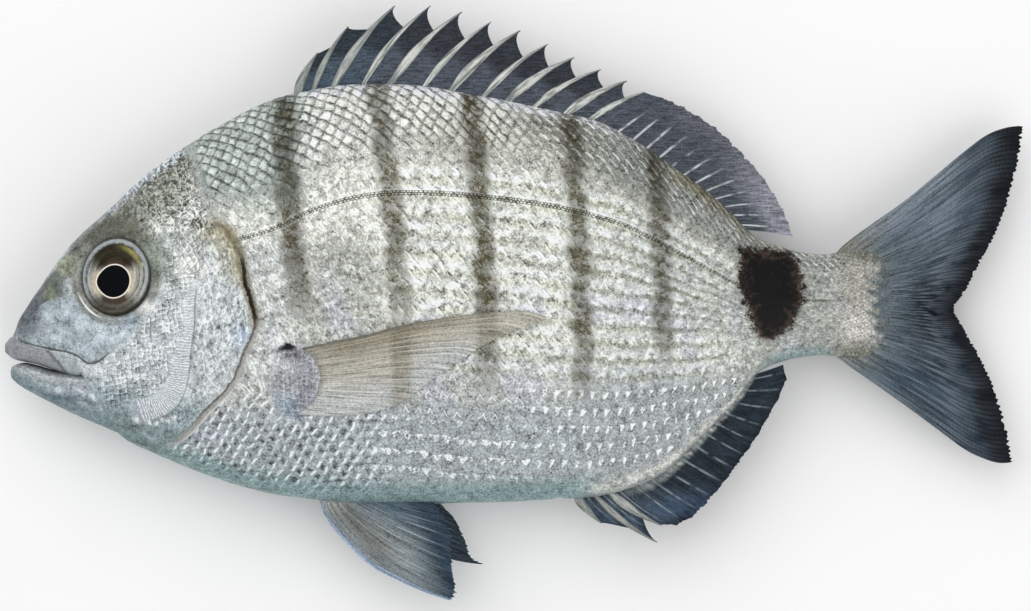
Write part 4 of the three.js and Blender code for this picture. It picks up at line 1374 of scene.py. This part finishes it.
def pelvic_tint(x, y, u, v):
    return tinted(x, (126, 136, 140), [
        [(112, 112, 106), bell(u - 0.26, 0.18) * smooth(v, 0.75, 0.45) * 0.8],
        [(80, 98, 110), smooth(u, 0.4, 0.7)],
        [(46, 62, 76), smooth(0.35 * u + v, 0.72, 1.1)],
        # painted glints along the front of the fin's root
        [(176, 178, 174), smooth(v, 0.2, 0.02) * smooth(u, 0.9, 0.4) * 0.8],
        [(156, 176, 204), smooth(u, 0.08, 0.02) * 0.8],
    ])


def far_pelvic_tint(x, y, u, v):
    return tinted(x, (44, 56, 66), [])


def breast_tint(x, y, u, v):
    gaps = [np.abs(x - profile(line)(y)) for _, _, line in BARS[1:3]]
    return tinted(x, (184, 181, 168), [
        [(142, 133, 113), smooth(u, 0.4, 0.1) * smooth(v, 0.02, 0.2, 0.9, 0.5) * 0.8],
        [(198, 202, 202), smooth(u, 0.4, 0.8) * 0.9],
        [(192, 196, 195), smooth(v, 0.5, 0.95) * smooth(u, 0.15, 0.4)],
        *[[(122, 116, 98), smooth(gap, 4, 1.5) * 0.55] for gap in gaps],
        [(140, 138, 130), smooth(v, 0.12, 0.02)],
        [(92, 88, 84), smooth(u, 0.08, 0) * smooth(v, 0.75, 0.3) * 0.8],
    ])


body()
jaw()
lip()
eye_paint = eye_material()
eye(1, "eye_left", eye_paint)
eye(-1, "eye_right", eye_paint)

tail_paint = fin_material("tail_web", TAIL, (132, 144, 154), 0.45)
flat_fin("tail_fin", TAIL, 420, 110, lambda x, y, u, v: 0 * x, tail_tint, tail_paint)
back_paint = fin_material(
    "back_web", BACK_FIN, (212, 216, 220), 1, 0.075, first_ray=12, level=True, fade=0.7
)
rayed_fin("back_fin", BACK_FIN, back_fin_tint, back_paint)
vent_paint = fin_material("vent_web", VENT_FIN, (150, 162, 170), 0.7, 0.06)
rayed_fin("vent_fin", VENT_FIN, vent_fin_tint, vent_paint)
spine_paint = spine_material()
spines("back_spine", BACK_FIN, spine_paint)
spines("vent_spine", VENT_FIN, spine_paint)
pelvic_paint = fin_material("pelvic_web", NEAR_PELVIC, (196, 206, 214), 0.7, 0.06)
flat_fin("pelvic_fin_left", NEAR_PELVIC, 160, 90, pelvic_lean(1), pelvic_tint, pelvic_paint)
flat_fin("pelvic_fin_right", FAR_PELVIC, 120, 70, pelvic_lean(-1), far_pelvic_tint, pelvic_paint)
breast_paint = fin_material("breast_web", BREAST_FIN, (218, 214, 204), 0.75, groove=0.16, fade=1.15)
for side, name in ((1, "breast_fin_left"), (-1, "breast_fin_right")):
    flat_fin(name, BREAST_FIN, 200, 100, breast_lean(side), breast_tint, breast_paint, 0.45)


# The table, the light and the camera

# The table and the lamps are in metres and watts.
TABLE_HALF = 3
KEY_LAMP = {"place": (-0.45, 0.75, 1.25), "size": 2.2, "power": 13.5}
FILL_LAMP = {"place": (0.8, -0.7, 1), "size": 2, "power": 8}
SURROUNDING_LIGHT = 0.52


def table():
    mesh = bpy.data.meshes.new("table")
    corners = [(-1, -1), (1, -1), (1, 1), (-1, 1)]
    mesh.from_pydata([(TABLE_HALF * x, TABLE_HALF * y, 0) for x, y in corners], [], [(0, 1, 2, 3)])
    m = Paint("pale_table")
    haze = m.noise(m.place(), 0.02)
    mesh.materials.append(m.done(m.mix(srgb(249, 249, 249), srgb(252, 252, 252), haze), 0.7))
    added("table", mesh)


def lamp(name, place, size, power):
    light = bpy.data.lights.new(name, "AREA")
    light.shape = "DISK"
    light.size = size
    light.energy = power
    holder = added(name, light)
    holder.location = place
    holder.rotation_euler = (-Vector(place)).to_track_quat("-Z", "Y").to_euler()


table()
lamp("key", **KEY_LAMP)
lamp("fill", **FILL_LAMP)
world = bpy.data.worlds.new("studio")
world.use_nodes = True
background = world.node_tree.nodes["Background"]
background.inputs["Color"].default_value = (1, 1, 1, 1)
background.inputs["Strength"].default_value = SURROUNDING_LIGHT
bpy.context.scene.world = world
bpy.context.scene.view_settings.view_transform = "Standard"

# The camera looks straight down, in millimetres. A pixel is measured at the fish's middle.
PICTURE_WIDTH = 1031
PIXEL = 0.275
SENSOR = 36
CAMERA_HEIGHT = 1800
VIEW_CENTRE = (-0.14, -0.69)
camera_data = bpy.data.cameras.new("camera")
camera_data.sensor_width = SENSOR
camera_data.lens = SENSOR * CAMERA_HEIGHT / (PICTURE_WIDTH * PIXEL)
camera = added("camera", camera_data)
camera.location = Vector((*VIEW_CENTRE, REST_DEPTH + CAMERA_HEIGHT)) * MM
bpy.context.scene.camera = camera
